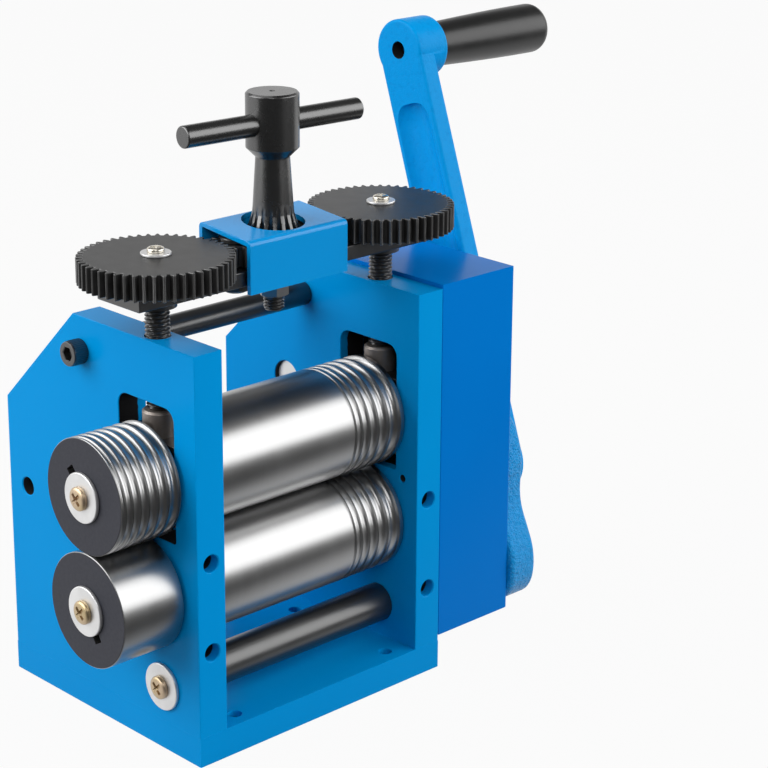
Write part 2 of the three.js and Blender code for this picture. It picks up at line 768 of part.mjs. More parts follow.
function gearSeatBore(end) {
  return rod("x", rollGearStart - 1, end, gearSeatDiameter + 2 * seatGap, fine);
}

function lowerRollParts() {
  const group = new THREE.Group();
  const at = [0, lineY, lowerRollHeight];
  const spigotBore = spigotDiameter + 2 * runningGap;
  const pilot = rod("x", finalGearEnd - spigotLength - 1, finalGearEnd + 1, spigotBore, coarse);
  const roll = mainRoll(finalGearEnd - runningGap, lowerKeyAngle).subtract(pilot);
  const meshAngle = THREE.MathUtils.degToRad(layshaftAngle);
  const finalTeeth = standardTeeth(finalGearTeeth, finalModule, backGearBacklash, meshAngle);
  const doubleGear = rollGear(Math.PI / 2)
    .add(rod("x", rollGearStart + rollGearWidth - 1, finalGearStart + 1, gearSeatDiameter * 1.6, medium))
    .add(prism("x", finalTeeth, finalGearStart, finalGearEnd))
    .subtract(gearSeatBore(finalGearEnd + 1));
  group.add(piece("lower_roll", roll, polishedSteel, at));
  group.add(piece("lower_side_roller", sideRoller([], lowerKeyAngle), polishedSteel, at));
  group.add(piece("lower_side_washer", sideWasher(), zincPlate, at));
  group.add(piece("lower_side_screw", sideScrew(), yellowZinc, at));
  group.add(piece("lower_roll_gear", doubleGear, blackSteel, at));
  return group;
}

function upperRollParts() {
  const group = new THREE.Group();
  const at = [0, lineY, upperRollHeight];
  const gearEnd = rollGearStart + rollGearWidth;
  const gapAtBottom = -Math.PI / 2 + Math.PI / rollGearTeeth;
  group.add(piece("upper_roll", mainRoll(gearEnd - runningGap, upperKeyAngle), polishedSteel, at));
  group.add(piece("upper_side_roller", sideRoller(sideGrooves, upperKeyAngle), polishedSteel, at));
  group.add(piece("upper_side_washer", sideWasher(), zincPlate, at));
  group.add(piece("upper_side_screw", sideScrew(), yellowZinc, at));
  group.add(piece("upper_roll_gear", rollGear(gapAtBottom).subtract(gearSeatBore(gearEnd + 1)), blackSteel, at));
  return group;
}

// Bearings: fixed bushes for the lower roll, sliding blocks, thrust buttons and lift springs for the upper one

function rollBush() {
  const bore = journalDiameter + 2 * runningGap;
  const outer = bore + 2 * bushWall;
  return washer("x", -plateThickness / 2, plateThickness / 2, outer, bore, fine);
}

function bearingBlock() {
  const halfWidth = windowWidth / 2 - runningGap;
  const halfThickness = plateThickness / 2 - blockRecess;
  const low = -blockHeight / 2;
  const high = blockHeight / 2;
  const buttonBore = thrustButtonDiameter + 2 * seatGap;
  const springBore = springDiameter + 2 * runningGap;
  return box([-halfThickness, -halfWidth, low], [halfThickness, halfWidth, high])
    .subtract(rod("x", -plateThickness, plateThickness, journalDiameter + 2 * runningGap, fine))
    .subtract(rod("z", high - thrustButtonSeat, high + 1, buttonBore, medium))
    .subtract(rod("z", low - 1, low + springSeatInBlock, springBore, coarse));
}

function thrustButton() {
  const bottom = blockHeight / 2 - thrustButtonSeat + seatGap;
  const radius = thrustButtonDiameter / 2;
  const chamfer = radius / 8;
  const profile = [
    [bottom, radius],
    [thrustButtonTop - chamfer, radius],
    [thrustButtonTop, radius - chamfer],
  ];
  return turned("z", profile, medium);
}

// A wound lift spring: a wire of five sides, with eight steps to a curl. The least gap between its curls is printed.
function liftSpring() {
  const stepsPerCurl = 8;
  const wireSides = 5;
  const length = springTop - springBottom;
  const meanRadius = (springDiameter - springWire) / 2;
  const steps = springCurls * stepsPerCurl;
  const rise = length - springWire;
  const pointAt = (i) => {
    const angle = (i * 2 * Math.PI) / stepsPerCurl;
    const up = springWire / 2 + (rise * i) / steps;
    return new THREE.Vector3(meanRadius * Math.cos(angle), meanRadius * Math.sin(angle), up);
  };
  const positions = [];
  const faces = [];
  for (let i = 0; i <= steps; i += 1) {
    const centre = pointAt(i);
    const outward = new THREE.Vector3(centre.x, centre.y, 0).normalize();
    for (let j = 0; j < wireSides; j += 1) {
      const angle = (j * 2 * Math.PI) / wireSides;
      const rim = centre.clone().addScaledVector(outward, (springWire / 2) * Math.cos(angle));
      rim.z += (springWire / 2) * Math.sin(angle);
      positions.push(rim.x, rim.y, rim.z);
    }
  }
  for (let i = 0; i < steps; i += 1) {
    for (let j = 0; j < wireSides; j += 1) {
      const a = i * wireSides + j;
      const b = i * wireSides + ((j + 1) % wireSides);
      faces.push(a, b, a + wireSides, b, b + wireSides, a + wireSides);
    }
  }
  const last = steps * wireSides;
  for (let j = 1; j < wireSides - 1; j += 1) {
    faces.push(0, j + 1, j, last, last + j, last + j + 1);
  }
  const geometry = new THREE.BufferGeometry();
  geometry.setAttribute("position", new THREE.Float32BufferAttribute(positions, 3));
  geometry.setIndex(faces);
  console.log("lift spring: least gap between curls", (rise / springCurls - springWire).toFixed(2), "mm");
  return solid(geometry);
}

function bearings() {
  const group = new THREE.Group();
  const sides = { left: -plateMiddle, right: plateMiddle };
  Object.entries(sides).forEach(([side, x]) => {
    group.add(piece(`${side}_roll_bush`, rollBush(), bronze, [x, lineY, lowerRollHeight]));
    group.add(piece(`${side}_bearing_block`, bearingBlock(), plainSteel, [x, lineY, upperRollHeight]));
    group.add(piece(`${side}_thrust_button`, thrustButton(), polishedSteel, [x, lineY, upperRollHeight]));
    group.add(piece(`${side}_lift_spring`, liftSpring(), plainSteel, [x, lineY, springBottom]));
  });
  return group;
}

// Gear housing, its stay and the casting for the crank

function gearHousing() {
  const inner = plateOuter + seatGap;
  const outerSolid = prism("x", sideOutline(housingBottom, housingRise, 0), inner, housingOuter);
  const roomEnd = housingOuter - housingWall;
  const room = prism("x", sideOutline(housingBottom, housingRise, housingRim), inner - 1, roomEnd);
  const stayBore = stayScrewDiameter + 2 * seatGap;
  const stayY = frontEdge + stayPlace.front;
  const shaftBore = crankShaftDiameter + 4 * runningGap;
  const layBore = layshaftDiameter + 4 * runningGap;
  let housing = outerSolid.subtract(room);
  housing = housing.subtract(rod("x", roomEnd - 1, housingOuter + 1, stayBore, medium, stayY, stayPlace.up));
  housing = housing.subtract(rod("x", roomEnd - 1, housingOuter + 1, shaftBore, medium, lineY, lowerRollHeight));
  housing = housing.subtract(rod("x", roomEnd - 1, housingOuter + 1, layBore, medium, layshaftY, layshaftZ));
  bracketScrewPlaces().forEach(([y, z]) => {
    const bore = bracketScrewDiameter + 2 * seatGap;
    housing = housing.subtract(rod("x", roomEnd - 1, housingOuter + 1, bore, medium, y, z));
  });
  return housing;
}

// The two screws stand either side of the line between the shafts, midway along it.
function bracketScrewPlaces() {
  const midY = (lineY + layshaftY) / 2;
  const midZ = (lowerRollHeight + layshaftZ) / 2;
  const lean = THREE.MathUtils.degToRad(backGearLean);
  return [-1, 1].map((side) => [
    midY + side * bracketScrewOffset * Math.cos(lean),
    midZ - side * bracketScrewOffset * Math.sin(lean),
  ]);
}

// A figure-of-eight casting with a bore for the crank shaft and a blind bore for the layshaft.
function bearingBracket() {
  const low = housingOuter + seatGap;
  const lean = THREE.MathUtils.degToRad(backGearLean);
  const half = bracketWaist / 2;
  const along = [Math.cos(lean) * half, -Math.sin(lean) * half];
  const waist = [
    new THREE.Vector2(lineY - along[0], lowerRollHeight - along[1]),
    new THREE.Vector2(layshaftY - along[0], layshaftZ - along[1]),
    new THREE.Vector2(layshaftY + along[0], layshaftZ + along[1]),
    new THREE.Vector2(lineY + along[0], lowerRollHeight + along[1]),
  ];
  const shaftBore = crankShaftDiameter + 2 * runningGap;
  const layBore = layshaftDiameter + 2 * runningGap;
  let body = rod("x", low, bracketOuter, 2 * bracketUpperRadius, fine, lineY, lowerRollHeight)
    .add(rod("x", low, bracketOuter, 2 * bracketLowerRadius, fine, layshaftY, layshaftZ))
    .add(prism("x", waist, low, bracketOuter))
    .subtract(rod("x", low - 1, bracketOuter + 1, shaftBore, medium, lineY, lowerRollHeight))
    .subtract(rod("x", low - 1, bracketOuter - bracketEndWall, layBore, medium, layshaftY, layshaftZ));
  bracketScrewPlaces().forEach(([y, z]) => {
    const sink = bracketOuter - bracketScrewHeadHeight;
    body = body
      .subtract(rod("x", low - 1, bracketOuter + 1, bracketScrewDiameter + 2 * seatGap, medium, y, z))
      .subtract(rod("x", sink, bracketOuter + 1, bracketScrewHead + 2 * runningGap, medium, y, z));
  });
  return body;
}

function housingParts() {
  const group = new THREE.Group();
  const stayAt = [0, frontEdge + stayPlace.front, stayPlace.up];
  const stayEnd = housingOuter - housingWall - seatGap;
  const stay = rod("x", plateInner + staySetback, stayEnd, stayDiameter, medium).subtract(
    rod("x", stayEnd - 12, stayEnd + 1, stayScrewDiameter + 2 * seatGap, medium),
  );
  const stayScrew = capScrew("x", housingOuter + seatGap, 1, {
    head: stayScrewHead,
    headHeight: stayScrewDiameter,
    shank: stayScrewDiameter,
    reach: housingWall + 10,
    socket: hexSocket,
    socketDepth: hexSocketDepth,
  });
  const bracketScrew = capScrew("x", bracketOuter - bracketScrewHeadHeight + seatGap, 1, {
    head: bracketScrewHead,
    headHeight: bracketScrewHeadHeight - 2 * seatGap,
    shank: bracketScrewDiameter,
    reach: bracketThickness - bracketScrewHeadHeight + housingWall,
    socket: hexSocket * 0.8,
    socketDepth: hexSocketDepth * 0.8,
  });
  const [front, rear] = bracketScrewPlaces();
  group.add(piece("gear_housing", gearHousing(), bluePaint));
  group.add(piece("housing_stay", stay, zincPlate, stayAt));
  group.add(piece("housing_stay_screw", stayScrew, blackSteel, stayAt));
  group.add(piece("bearing_bracket", bearingBracket(), blueCasting));
  group.add(piece("bracket_screw_front", bracketScrew, blackSteel, [0, ...front]));
  group.add(piece("bracket_screw_rear", bracketScrew, blackSteel, [0, ...rear]));
  return group;
}

// Layshaft and crank

// Both gears of the layshaft are cut on one forging.
function layshaft() {
  const meshAngle = THREE.MathUtils.degToRad(layshaftAngle) + Math.PI;
  const gearPhase = meshAngle + Math.PI / layshaftGearTeeth;
  const pinionPhase = meshAngle + Math.PI / layshaftPinionTeeth;
  const shaftEnd = bracketOuter - bracketEndWall - runningGap;
  const profile = [
    [finalGearStart, layshaftDiameter / 2],
    [shaftEnd, layshaftDiameter / 2],
  ];
  return turned("x", profile, medium)
    .add(prism("x", standardTeeth(layshaftPinionTeeth, finalModule, backGearBacklash, pinionPhase), finalGearStart, finalGearEnd))
    .add(prism("x", standardTeeth(layshaftGearTeeth, firstModule, backGearBacklash, gearPhase), firstGearStart, firstGearEnd));
}

// The crank's pinion shaft: a spigot that runs in the lower roll, the pinion, the journal, two flats and a thread.
function crankShaft() {
  const meshAngle = THREE.MathUtils.degToRad(layshaftAngle);
  const teeth = standardTeeth(crankPinionTeeth, firstModule, backGearBacklash, meshAngle);
  const flatEnd = armOuter - runningGap;
  const threadEnd = armOuter + crankNutHeight + 1;
  const profile = [
    [firstGearStart - gearPlaneGap - spigotLength + 1, spigotDiameter / 2],
    [firstGearStart, spigotDiameter / 2],
    [firstGearStart, crankShaftDiameter / 2],
    [flatEnd, crankShaftDiameter / 2],
    [flatEnd, crankBoltDiameter / 2],
    [threadEnd, crankBoltDiameter / 2],
  ];
  const flats = box([armInner, -hubRadius, -hubRadius], [threadEnd + 1, hubRadius, hubRadius]).subtract(
    box([armInner - 1, -flatHalf, -hubRadius - 1], [threadEnd + 2, flatHalf, hubRadius + 1]),
  );
  return turned("x", profile, medium)
    .subtract(flats)
    .rotate([-crankLean, 0, 0])
    .add(prism("x", teeth, firstGearStart, firstGearEnd));
}

const flatHalf = crankShaftDiameter * 0.38;

// The arm is drawn upright about the crank's axis, as (y, z), and leans back by its rotation.
function crankArm() {
  const profile = new THREE.Shape();
  const halfHub = armWidthAtHub / 2;
  const halfBoss = armWidthAtBoss / 2;
  const hubAngle = Math.asin(halfHub / hubRadius);
  const bossAngle = Math.asin(halfBoss / bossRadius);
  profile.moveTo(halfHub, hubRadius * Math.cos(hubAngle));
  profile.lineTo(halfBoss, crankLength - bossRadius * Math.cos(bossAngle));
  profile.absarc(0, crankLength, bossRadius, -Math.PI / 2 + bossAngle, 1.5 * Math.PI - bossAngle, false);
  profile.lineTo(-halfHub, hubRadius * Math.cos(hubAngle));
  profile.absarc(0, 0, hubRadius, Math.PI / 2 + hubAngle, 2.5 * Math.PI - hubAngle, false);
  const pocket = new THREE.Shape();
  const pocketTop = crankLength - pocketFromBoss - pocketRadius;
  const pocketBottom = pocketFromHub + pocketRadius;
  pocket.absarc(0, pocketTop, pocketRadius, 0, Math.PI, false);
  pocket.absarc(0, pocketBottom, pocketRadius * (armWidthAtHub / armWidthAtBoss), Math.PI, 2 * Math.PI, false);
  const bore = rod("x", armInner - 1, armOuter + 1, crankShaftDiameter + 2 * seatGap, medium).intersect(
    box([armInner - 2, -flatHalf - seatGap, -hubRadius], [armOuter + 2, flatHalf + seatGap, hubRadius]),
  );
  const bossEnd = armInner + bossLength;
  return prism("x", profile, armInner, armOuter, 8)
    .add(rod("x", armInner, bossEnd, 2 * bossRadius, fine, 0, crankLength))
    .subtract(prism("x", pocket, armInner - 1, armInner + pocketDepth, 5))
    .subtract(bore)
    .subtract(rod("x", armInner - 1, bossEnd + 1, bossHoleDiameter, coarse, 0, crankLength))
    .subtract(rod("x", bossEnd - bossThreadReach, bossEnd + 1, gripBoltDiameter + 2 * seatGap, medium, 0, crankLength));
}

function crankNut() {
  const inner = armOuter + seatGap;
  return prism("x", hexagon(crankNutAcross), inner, inner + crankNutHeight).subtract(
    rod("x", inner - 1, inner + crankNutHeight + 1, crankBoltDiameter + 2 * seatGap, medium),
  );
}

// The grip swells from the boss to a rounded end, where the bolt's head is sunk.
function crankGrip() {
  const start = armInner + bossLength + runningGap;
  const end = start + gripLength;
  const near = gripNearDiameter / 2;
  const far = gripFarDiameter / 2;
  const endRound = 5;
  const arcSteps = 3;
  const profile = [[start, near - 0.6], [start + 0.6, near]];
  const swell = 4;
  for (let i = 1; i <= swell; i += 1) {
    const share = i / swell;
    const radius = near + (far - near) * Math.sin((share * Math.PI) / 2);
    profile.push([start + 1 + (gripLength - endRound - 1) * share, radius]);
  }
  for (let i = 1; i <= arcSteps; i += 1) {
    const angle = (i * Math.PI) / 2 / arcSteps;
    profile.push([end - endRound + endRound * Math.sin(angle), far - endRound + endRound * Math.cos(angle)]);
  }
  return turned("x", profile, medium)
    .subtract(rod("x", start - 1, end + 1, gripBoltDiameter + 2 * runningGap, coarse))
    .subtract(rod("x", end - gripBoltHeadHeight - 1, end + 1, gripBoltHead + 2 * runningGap, medium));
}

function gripBolt() {
  const grip = armInner + bossLength + runningGap;
  const headSeat = grip + gripLength - gripBoltHeadHeight - 1 + runningGap;
  return capScrew("x", headSeat, 1, {
    head: gripBoltHead,
    headHeight: gripBoltHeadHeight,
    shank: gripBoltDiameter,
    reach: headSeat - (armInner + bossLength - bossThreadReach + 1),
    socket: hexSocket,
    socketDepth: hexSocketDepth,
  });
}

function crankParts() {
  const group = new THREE.Group();
  const lean = THREE.MathUtils.degToRad(-crankLean);
  const axis = [0, lineY, lowerRollHeight];
  const gripAt = [0, lineY - crankLength * Math.sin(lean), lowerRollHeight + crankLength * Math.cos(lean)];
  group.add(piece("layshaft", layshaft(), blackSteel, [0, layshaftY, layshaftZ]));
  group.add(piece("crank_shaft", crankShaft(), blackSteel, axis));
  group.add(piece("crank_arm", crankArm(), blueCasting, axis, lean));
  group.add(piece("crank_nut", crankNut(), zincPlate, axis, lean));
  group.add(piece("grip_bolt", gripBolt(), blackSteel, gripAt, lean));
  group.add(piece("crank_grip", crankGrip(), blackPlastic, gripAt));
  return group;
}

// Bridge, cover and T-handle

function bridgePlate() {
  const half = plateMiddle + bridgeOverhang;
  const neckBore = screwNeckDiameter + 2 * runningGap;
  let bridge = box([-half, -bridgeWidth / 2, bridgeBottom], [half, bridgeWidth / 2, bridgeTop]);
  [-1, 1].forEach((side) => {
    bridge = bridge
      .subtract(rod("z", bridgeBottom - 1, bridgeTop + 1, neckBore, coarse, side * plateMiddle, 0))
      .subtract(rod("z", bridgeBottom - 1, bridgeTop + 1, idlerPinDiameter + 2 * seatGap, coarse, side * idlerX, 0));
  });
  return bridge.subtract(rod("z", bridgeBottom - 1, bridgeTop + 1, spindleJournal + 2 * runningGap, coarse));
}

// A sheet folded into a channel that rests on the bridge's edges, with a hole for the T-handle.
function gearCover() {
  const half = coverLength / 2;
  const outer = coverWidth / 2;
  const inner = outer - coverSheet;
  const bent = (side, top, radius) => {
    const shape = new THREE.Shape([new THREE.Vector2(side, coverBottom), new THREE.Vector2(side, top - radius)]);
    shape.absarc(side - radius, top - radius, radius, 0, Math.PI / 2, false);
    shape.absarc(radius - side, top - radius, radius, Math.PI / 2, Math.PI, false);
    shape.lineTo(-side, coverBottom);
    return shape;
  };
  const room = prism("x", bent(inner, coverTop - coverSheet, coverBend - coverSheet), -half - 1, half + 1, 2)
    .add(box([-half - 1, -inner, coverBottom - 1], [half + 1, inner, coverBottom + 1]));
  return prism("x", bent(outer, coverTop, coverBend), -half, half, 2)
    .subtract(room)
    .subtract(rod("z", coverTop - coverSheet - 1, coverTop + 1, coverHoleDiameter, fine));
}

// A shoulder pin that carries an idler gear, with the nut that holds it under the bridge.
function idlerPin() {
  const headTop = topGearBottom + idlerWidth + runningGap + idlerPinHeadHeight;
  const nutTop = bridgeBottom - seatGap;
  return rod("z", nutTop - idlerNutHeight, headTop, idlerPinDiameter, coarse)
    .add(rod("z", headTop - idlerPinHeadHeight, headTop, idlerPinHead, coarse))
    .add(prism("z", hexagon(idlerNutAcross), nutTop - idlerNutHeight, nutTop));
}

function idlerGear(phase) {
  const teeth = standardTeeth(idlerTeeth, topModule, topGearBacklash, phase);
  return prism("z", teeth, topGearBottom, topGearBottom + idlerWidth).subtract(
    rod("z", topGearBottom - 1, topGearBottom + idlerWidth + 1, idlerPinDiameter + 2 * runningGap, coarse),
  );
}

// The pinion's teeth, straight up to the knee. Above it they spread until they leave the neck's flare.
function runOutTeeth(outline, from, knee, to, spread) {
  const geometry = new THREE.ExtrudeGeometry(new THREE.Shape(outline), { depth: 2, steps: 2, bevelEnabled: false });
  const places = geometry.attributes.position;
  for (let i = 0; i < places.count; i += 1) {
    const station = Math.round(places.getZ(i));
    const scale = station === 2 ? 1 + spread : 1;
    places.setXYZ(i, places.getX(i) * scale, places.getY(i) * scale, [from, knee, to][station]);
  }
  return solid(geometry);
}

function handleSpindle() {
  const teeth = standardTeeth(topPinionTeeth, topModule, topGearBacklash, 0);
  const tipRadius = (topModule * (topPinionTeeth + 2)) / 2;
  const flareTop = topGearTop + flareHeight;
  const collarTop = hubBottom - (hubDiameter - neckTopDiameter) / 2;
  const profile = [
    [spindleStubBottom, spindleStub / 2],
    [bridgeBottom - runningGap, spindleStub / 2],
    [bridgeBottom - runningGap, spindleJournal / 2],
    [topGearBottom, spindleJournal / 2],
    [topGearBottom, tipRadius],
    [topGearTop, tipRadius],
    [topGearTop + flareHeight * 0.4, neckBottomDiameter / 2 + 0.9],
    [flareTop, neckBottomDiameter / 2],
    [neckTop, neckTopDiameter / 2],
    [collarTop, neckTopDiameter / 2],
    [hubBottom, hubDiameter / 2],
    [hubTop - barChamfer, hubDiameter / 2],
    [hubTop, hubDiameter / 2 - barChamfer],
  ];
  const below = rod("z", spindleStubBottom - 1, topGearBottom - 0.5, 2 * tipRadius + 4, coarse);
  const above = rod("z", flareTop, hubTop + 1, 2 * hubDiameter, coarse);
  const allowed = runOutTeeth(teeth, topGearBottom - 1, topGearTop, flareTop + 1, 0.7).add(below).add(above);
  const crossBore = rod("x", -hubDiameter, hubDiameter, crossBarDiameter + 2 * seatGap, medium, 0, crossBarHeight);
  const mark = turned("z", [[hubTop - centreMark / 2, 0.01], [hubTop + 1, centreMark / 2 + 1]], coarse);
  return turned("z", profile, topPinionTeeth)
    .intersect(allowed)
    .subtract(crossBore.rotate([0, 0, crossBarTurn]))
    .subtract(mark);
}

function crossBar() {
  const half = crossBarLength / 2;
  const radius = crossBarDiameter / 2;
  const profile = [
    [-half, radius - barChamfer],
    [-half + barChamfer, radius],
    [half - barChamfer, radius],
    [half, radius - barChamfer],
  ];
  return turned("x", profile, medium).translate(0, 0, crossBarHeight).rotate([0, 0, crossBarTurn]);
}

function spindleNut() {
  const flangeTop = bridgeBottom - runningGap;
  const nutTop = spindleNutBottom + spindleNutHeight;
  return prism("z", hexagon(spindleNutAcross), spindleNutBottom, nutTop)
    .add(rod("z", nutTop - 1, flangeTop - runningGap, spindleFlangeDiameter, medium))
    .subtract(rod("z", spindleNutBottom - 1, flangeTop + 1, spindleStub + 2 * seatGap, topPinionTeeth));
}

// A pressure screw: thread in the plate, collar under the bridge, neck through it and a square for the gear.
function pressureScrew() {
  const collarTop = bridgeBottom - runningGap;
  const collarBottom = collarTop - collarHeight;
  const pinTop = upperRollHeight + thrustButtonTop;
  const profile = [
    [pinTop + runningGap, pressureScrewDiameter / 2 - barChamfer],
    [pinTop + runningGap + barChamfer, pressureScrewDiameter / 2],
    [collarBottom, pressureScrewDiameter / 2],
    [collarBottom, collarDiameter / 2],
    [collarTop, collarDiameter / 2],
    [collarTop, screwNeckDiameter / 2],
    [topGearBottom, screwNeckDiameter / 2],
  ];
  const half = screwSquare / 2;
  const squareTop = topGearTop - runningGap;
  const tap = rod("z", squareTop - gearScrewReach - 1, squareTop + 1, gearScrewDiameter + 2 * seatGap, medium);
  return turned("z", profile, coarse)
    .add(box([-half, -half, topGearBottom - 1], [half, half, squareTop]))
    .subtract(tap);
}

function screwGear(phase) {
  const half = screwSquare / 2 + seatGap;
  const bore = box([-half, -half, topGearBottom - 1], [half, half, topGearTop + 1]);
  return prism("z", standardTeeth(screwGearTeeth, topModule, topGearBacklash, phase), topGearBottom, topGearTop).subtract(bore);
}

function topWorks() {
  const group = new THREE.Group();
  group.position.y = lineY;
  const washerTop = topGearTop + seatGap + gearWasherThickness;
  const gearScrew = panScrew("z", washerTop + seatGap, 1, {
    head: gearScrewHead,
    headHeight: gearScrewHeadHeight,
    shank: gearScrewDiameter,
    reach: gearWasherThickness + gearScrewReach,
  });
  const gearWasher = washer("z", topGearTop + seatGap, washerTop, gearWasherDiameter, gearScrewDiameter + 2 * seatGap);
  const toothGap = Math.PI / screwGearTeeth;
  group.add(piece("bridge_plate", bridgePlate(), blackSteel));
  group.add(piece("gear_cover", gearCover(), bluePaint));
  group.add(piece("left_idler_pin", idlerPin(), plainSteel, [-idlerX, 0, 0]));
  group.add(piece("right_idler_pin", idlerPin(), plainSteel, [idlerX, 0, 0]));
  group.add(piece("left_idler_gear", idlerGear(0), blackSteel, [-idlerX, 0, 0]));
  group.add(piece("right_idler_gear", idlerGear(0), blackSteel, [idlerX, 0, 0]));
  group.add(piece("handle_spindle", handleSpindle(), blackSteel));
  group.add(piece("handle_cross_bar", crossBar(), blackSteel));
  group.add(piece("spindle_nut", spindleNut(), plainSteel));
  const sides = { left: [-plateMiddle, 0], right: [plateMiddle, toothGap] };
  Object.entries(sides).forEach(([side, [x, phase]]) => {
    group.add(piece(`${side}_pressure_screw`, pressureScrew(), blackSteel, [x, 0, 0]));
    group.add(piece(`${side}_screw_gear`, screwGear(phase), blackSteel, [x, 0, 0]));
    group.add(piece(`${side}_gear_washer`, gearWasher, zincPlate, [x, 0, 0]));
    group.add(piece(`${side}_gear_screw`, gearScrew, zincPlate, [x, 0, 0]));
  });
  return group;
}

const mill = new THREE.Group();
mill.add(frameStructure(), tieRods(), bearings(), lowerRollParts(), upperRollParts());
mill.add(housingParts(), crankParts(), topWorks());

export default mill;
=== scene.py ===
# %% [markdown]
# # A hand rolling mill for jewellers
#
# The mill squeezes sheet and wire between two steel rolls. Its CAD model is already packed, with every
# piece in its place and on its joint. This lesson dresses that model in Blender: it remakes each piece
# that shows with rounded edges, real threads and real teeth, and gives each finish a material of its own.
#
# All sizes are written in millimetres, as a maker would, and turned into metres when a mesh is made. X
# runs along the rolls, Y from front to back, and Z is up. The origin is the middle of the base's
# underside.

import math

import bmesh
import bpy
from mathutils import Matrix, Vector
from mathutils.geometry import tessellate_polygon


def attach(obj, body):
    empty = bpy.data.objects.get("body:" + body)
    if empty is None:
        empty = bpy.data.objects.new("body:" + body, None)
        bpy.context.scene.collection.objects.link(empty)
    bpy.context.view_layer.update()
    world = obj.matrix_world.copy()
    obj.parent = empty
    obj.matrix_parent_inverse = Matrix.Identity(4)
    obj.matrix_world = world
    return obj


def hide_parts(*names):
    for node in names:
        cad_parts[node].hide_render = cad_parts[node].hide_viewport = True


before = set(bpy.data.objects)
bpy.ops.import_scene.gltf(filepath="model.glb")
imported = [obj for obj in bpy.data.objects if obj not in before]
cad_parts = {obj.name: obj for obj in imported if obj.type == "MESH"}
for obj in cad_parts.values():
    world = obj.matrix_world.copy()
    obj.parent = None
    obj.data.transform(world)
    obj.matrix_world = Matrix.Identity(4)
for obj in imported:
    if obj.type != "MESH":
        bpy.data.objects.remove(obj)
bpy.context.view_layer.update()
MM = 0.001

# %% [markdown]
# ## The camera
#
# A long lens from about 0.9 m flattens the perspective, as product photographs do. The camera looks 44
# degrees round from the front and 17 degrees down, so that the left plate, the rolls and the top gears
# all show. Its place and turn were worked out from straight edges of the two plates and the base. Two
# helpers write moves and turns in millimetres and degrees, here and for the pieces that follow.

# %% Place the camera
def shift(x, y, z):
    """A move by so many millimetres."""
    return Matrix.Translation(Vector((x, y, z)) * MM)


def spin(degrees, axis):
    """A turn about one of the main axes."""
    return Matrix.Rotation(math.radians(degrees), 4, axis)


camera_place = (-549.46, -661.96, 420.19)
camera_azimuth = -44.0
camera_drop = 16.68
camera_roll = 0.404
focal_length = 106.08
frame_shift = (-0.0030, -0.1195)

camera_data = bpy.data.cameras.new("camera")
camera_data.lens = focal_length
camera_data.sensor_width = 36
camera_data.shift_x, camera_data.shift_y = frame_shift
camera_data.clip_end = 50
camera = bpy.data.objects.new("camera", camera_data)
turn = spin(camera_azimuth, "Z") @ spin(90 - camera_drop, "X") @ spin(camera_roll, "Z")
camera.matrix_world = shift(*camera_place) @ turn
bpy.context.scene.collection.objects.link(camera)
bpy.context.scene.camera = camera
bpy.context.scene.view_settings.view_transform = "Standard"
print("camera at", [round(v, 3) for v in camera.location])

# %% [markdown]
# ## A bench for nodes
#
# Materials and Geometry Nodes are both trees of nodes. One small class makes a node from its type, its
# settings and its inputs. A second class wraps a socket, so that sums can be written as plain Python:
# `1 - mask` adds a Math node. Colours and vectors don't go through these operators, because a Math node
# would turn them grey.

# %% Write node trees as expressions
class Wire:
    """An output socket that takes part in sums."""

    def __init__(self, bench, socket):
        self.bench = bench
        self.socket = socket

    def side(self, name):
        """Another output of the same node."""
        return Wire(self.bench, self.socket.node.outputs[name])

    def sum(self, operation, *values):
        return self.bench.node("ShaderNodeMath", {"operation": operation}, dict(enumerate(values)))

    def __add__(self, other):
        return self.sum("ADD", self, other)

    def __sub__(self, other):
        return self.sum("SUBTRACT", self, other)

    def __rsub__(self, other):
        return self.sum("SUBTRACT", other, self)

    def __mul__(self, other):
        return self.sum("MULTIPLY", self, other)

    def __truediv__(self, other):
        return self.sum("DIVIDE", self, other)

    def __abs__(self):
        return self.sum("ABSOLUTE", self)

    __radd__ = __add__
    __rmul__ = __mul__


class Bench:
    """Makes nodes in one tree."""

    def __init__(self, tree):
        self.tree = tree
        tree.nodes.clear()

    def node(self, kind, settings=None, inputs=None, output=0):
        made = self.tree.nodes.new(kind)
        for name, value in (settings or {}).items():
            setattr(made, name, value)
        for name, value in (inputs or {}).items():
            if isinstance(value, Wire):
                self.tree.links.new(value.socket, made.inputs[name])
            else:
                made.inputs[name].default_value = value
        return Wire(self, made.outputs[output]) if made.outputs else made

    def mix(self, share, first, second):
        """The first colour at a share of 0 and the second at 1."""
        inputs = {0: share, 6: first, 7: second}
        return self.node("ShaderNodeMix", {"data_type": "RGBA"}, inputs, output=2)

    def ease(self, value, low, high):
        """0 under low, 1 over high and a soft step between."""
        inputs = {"Value": value, "From Min": low, "From Max": high}
        return self.node("ShaderNodeMapRange", {"interpolation_type": "SMOOTHSTEP"}, inputs)

    def noise(self, place, scale, detail=2.0, roughness=0.5):
        inputs = {"Vector": place, "Scale": scale, "Detail": detail, "Roughness": roughness}
        return self.node("ShaderNodeTexNoise", {}, inputs)

    def bump(self, height, distance):
        """A bump of the given height, in metres."""
        inputs = {"Height": height, "Distance": distance, "Strength": 1.0}
        return self.node("ShaderNodeBump", {}, inputs)


print("nodes can be written as expressions")

# %% [markdown]
# ## Finishes
#
# A finish starts from the place of each point on the object, in metres, and ends in one shader. What
# changes over the surface goes only to colour, roughness, metal and bump. The rest are plain numbers on
# the shader.

# %% Start and end a finish
finishes = {}


def start_finish(name):
    """A new material, its bench and the object's own coordinates."""
    material = bpy.data.materials.new(name)
    material.use_nodes = True
    bench = Bench(material.node_tree)
    place = bench.node("ShaderNodeTexCoord", output="Object")
    finishes[name] = material
    return bench, place


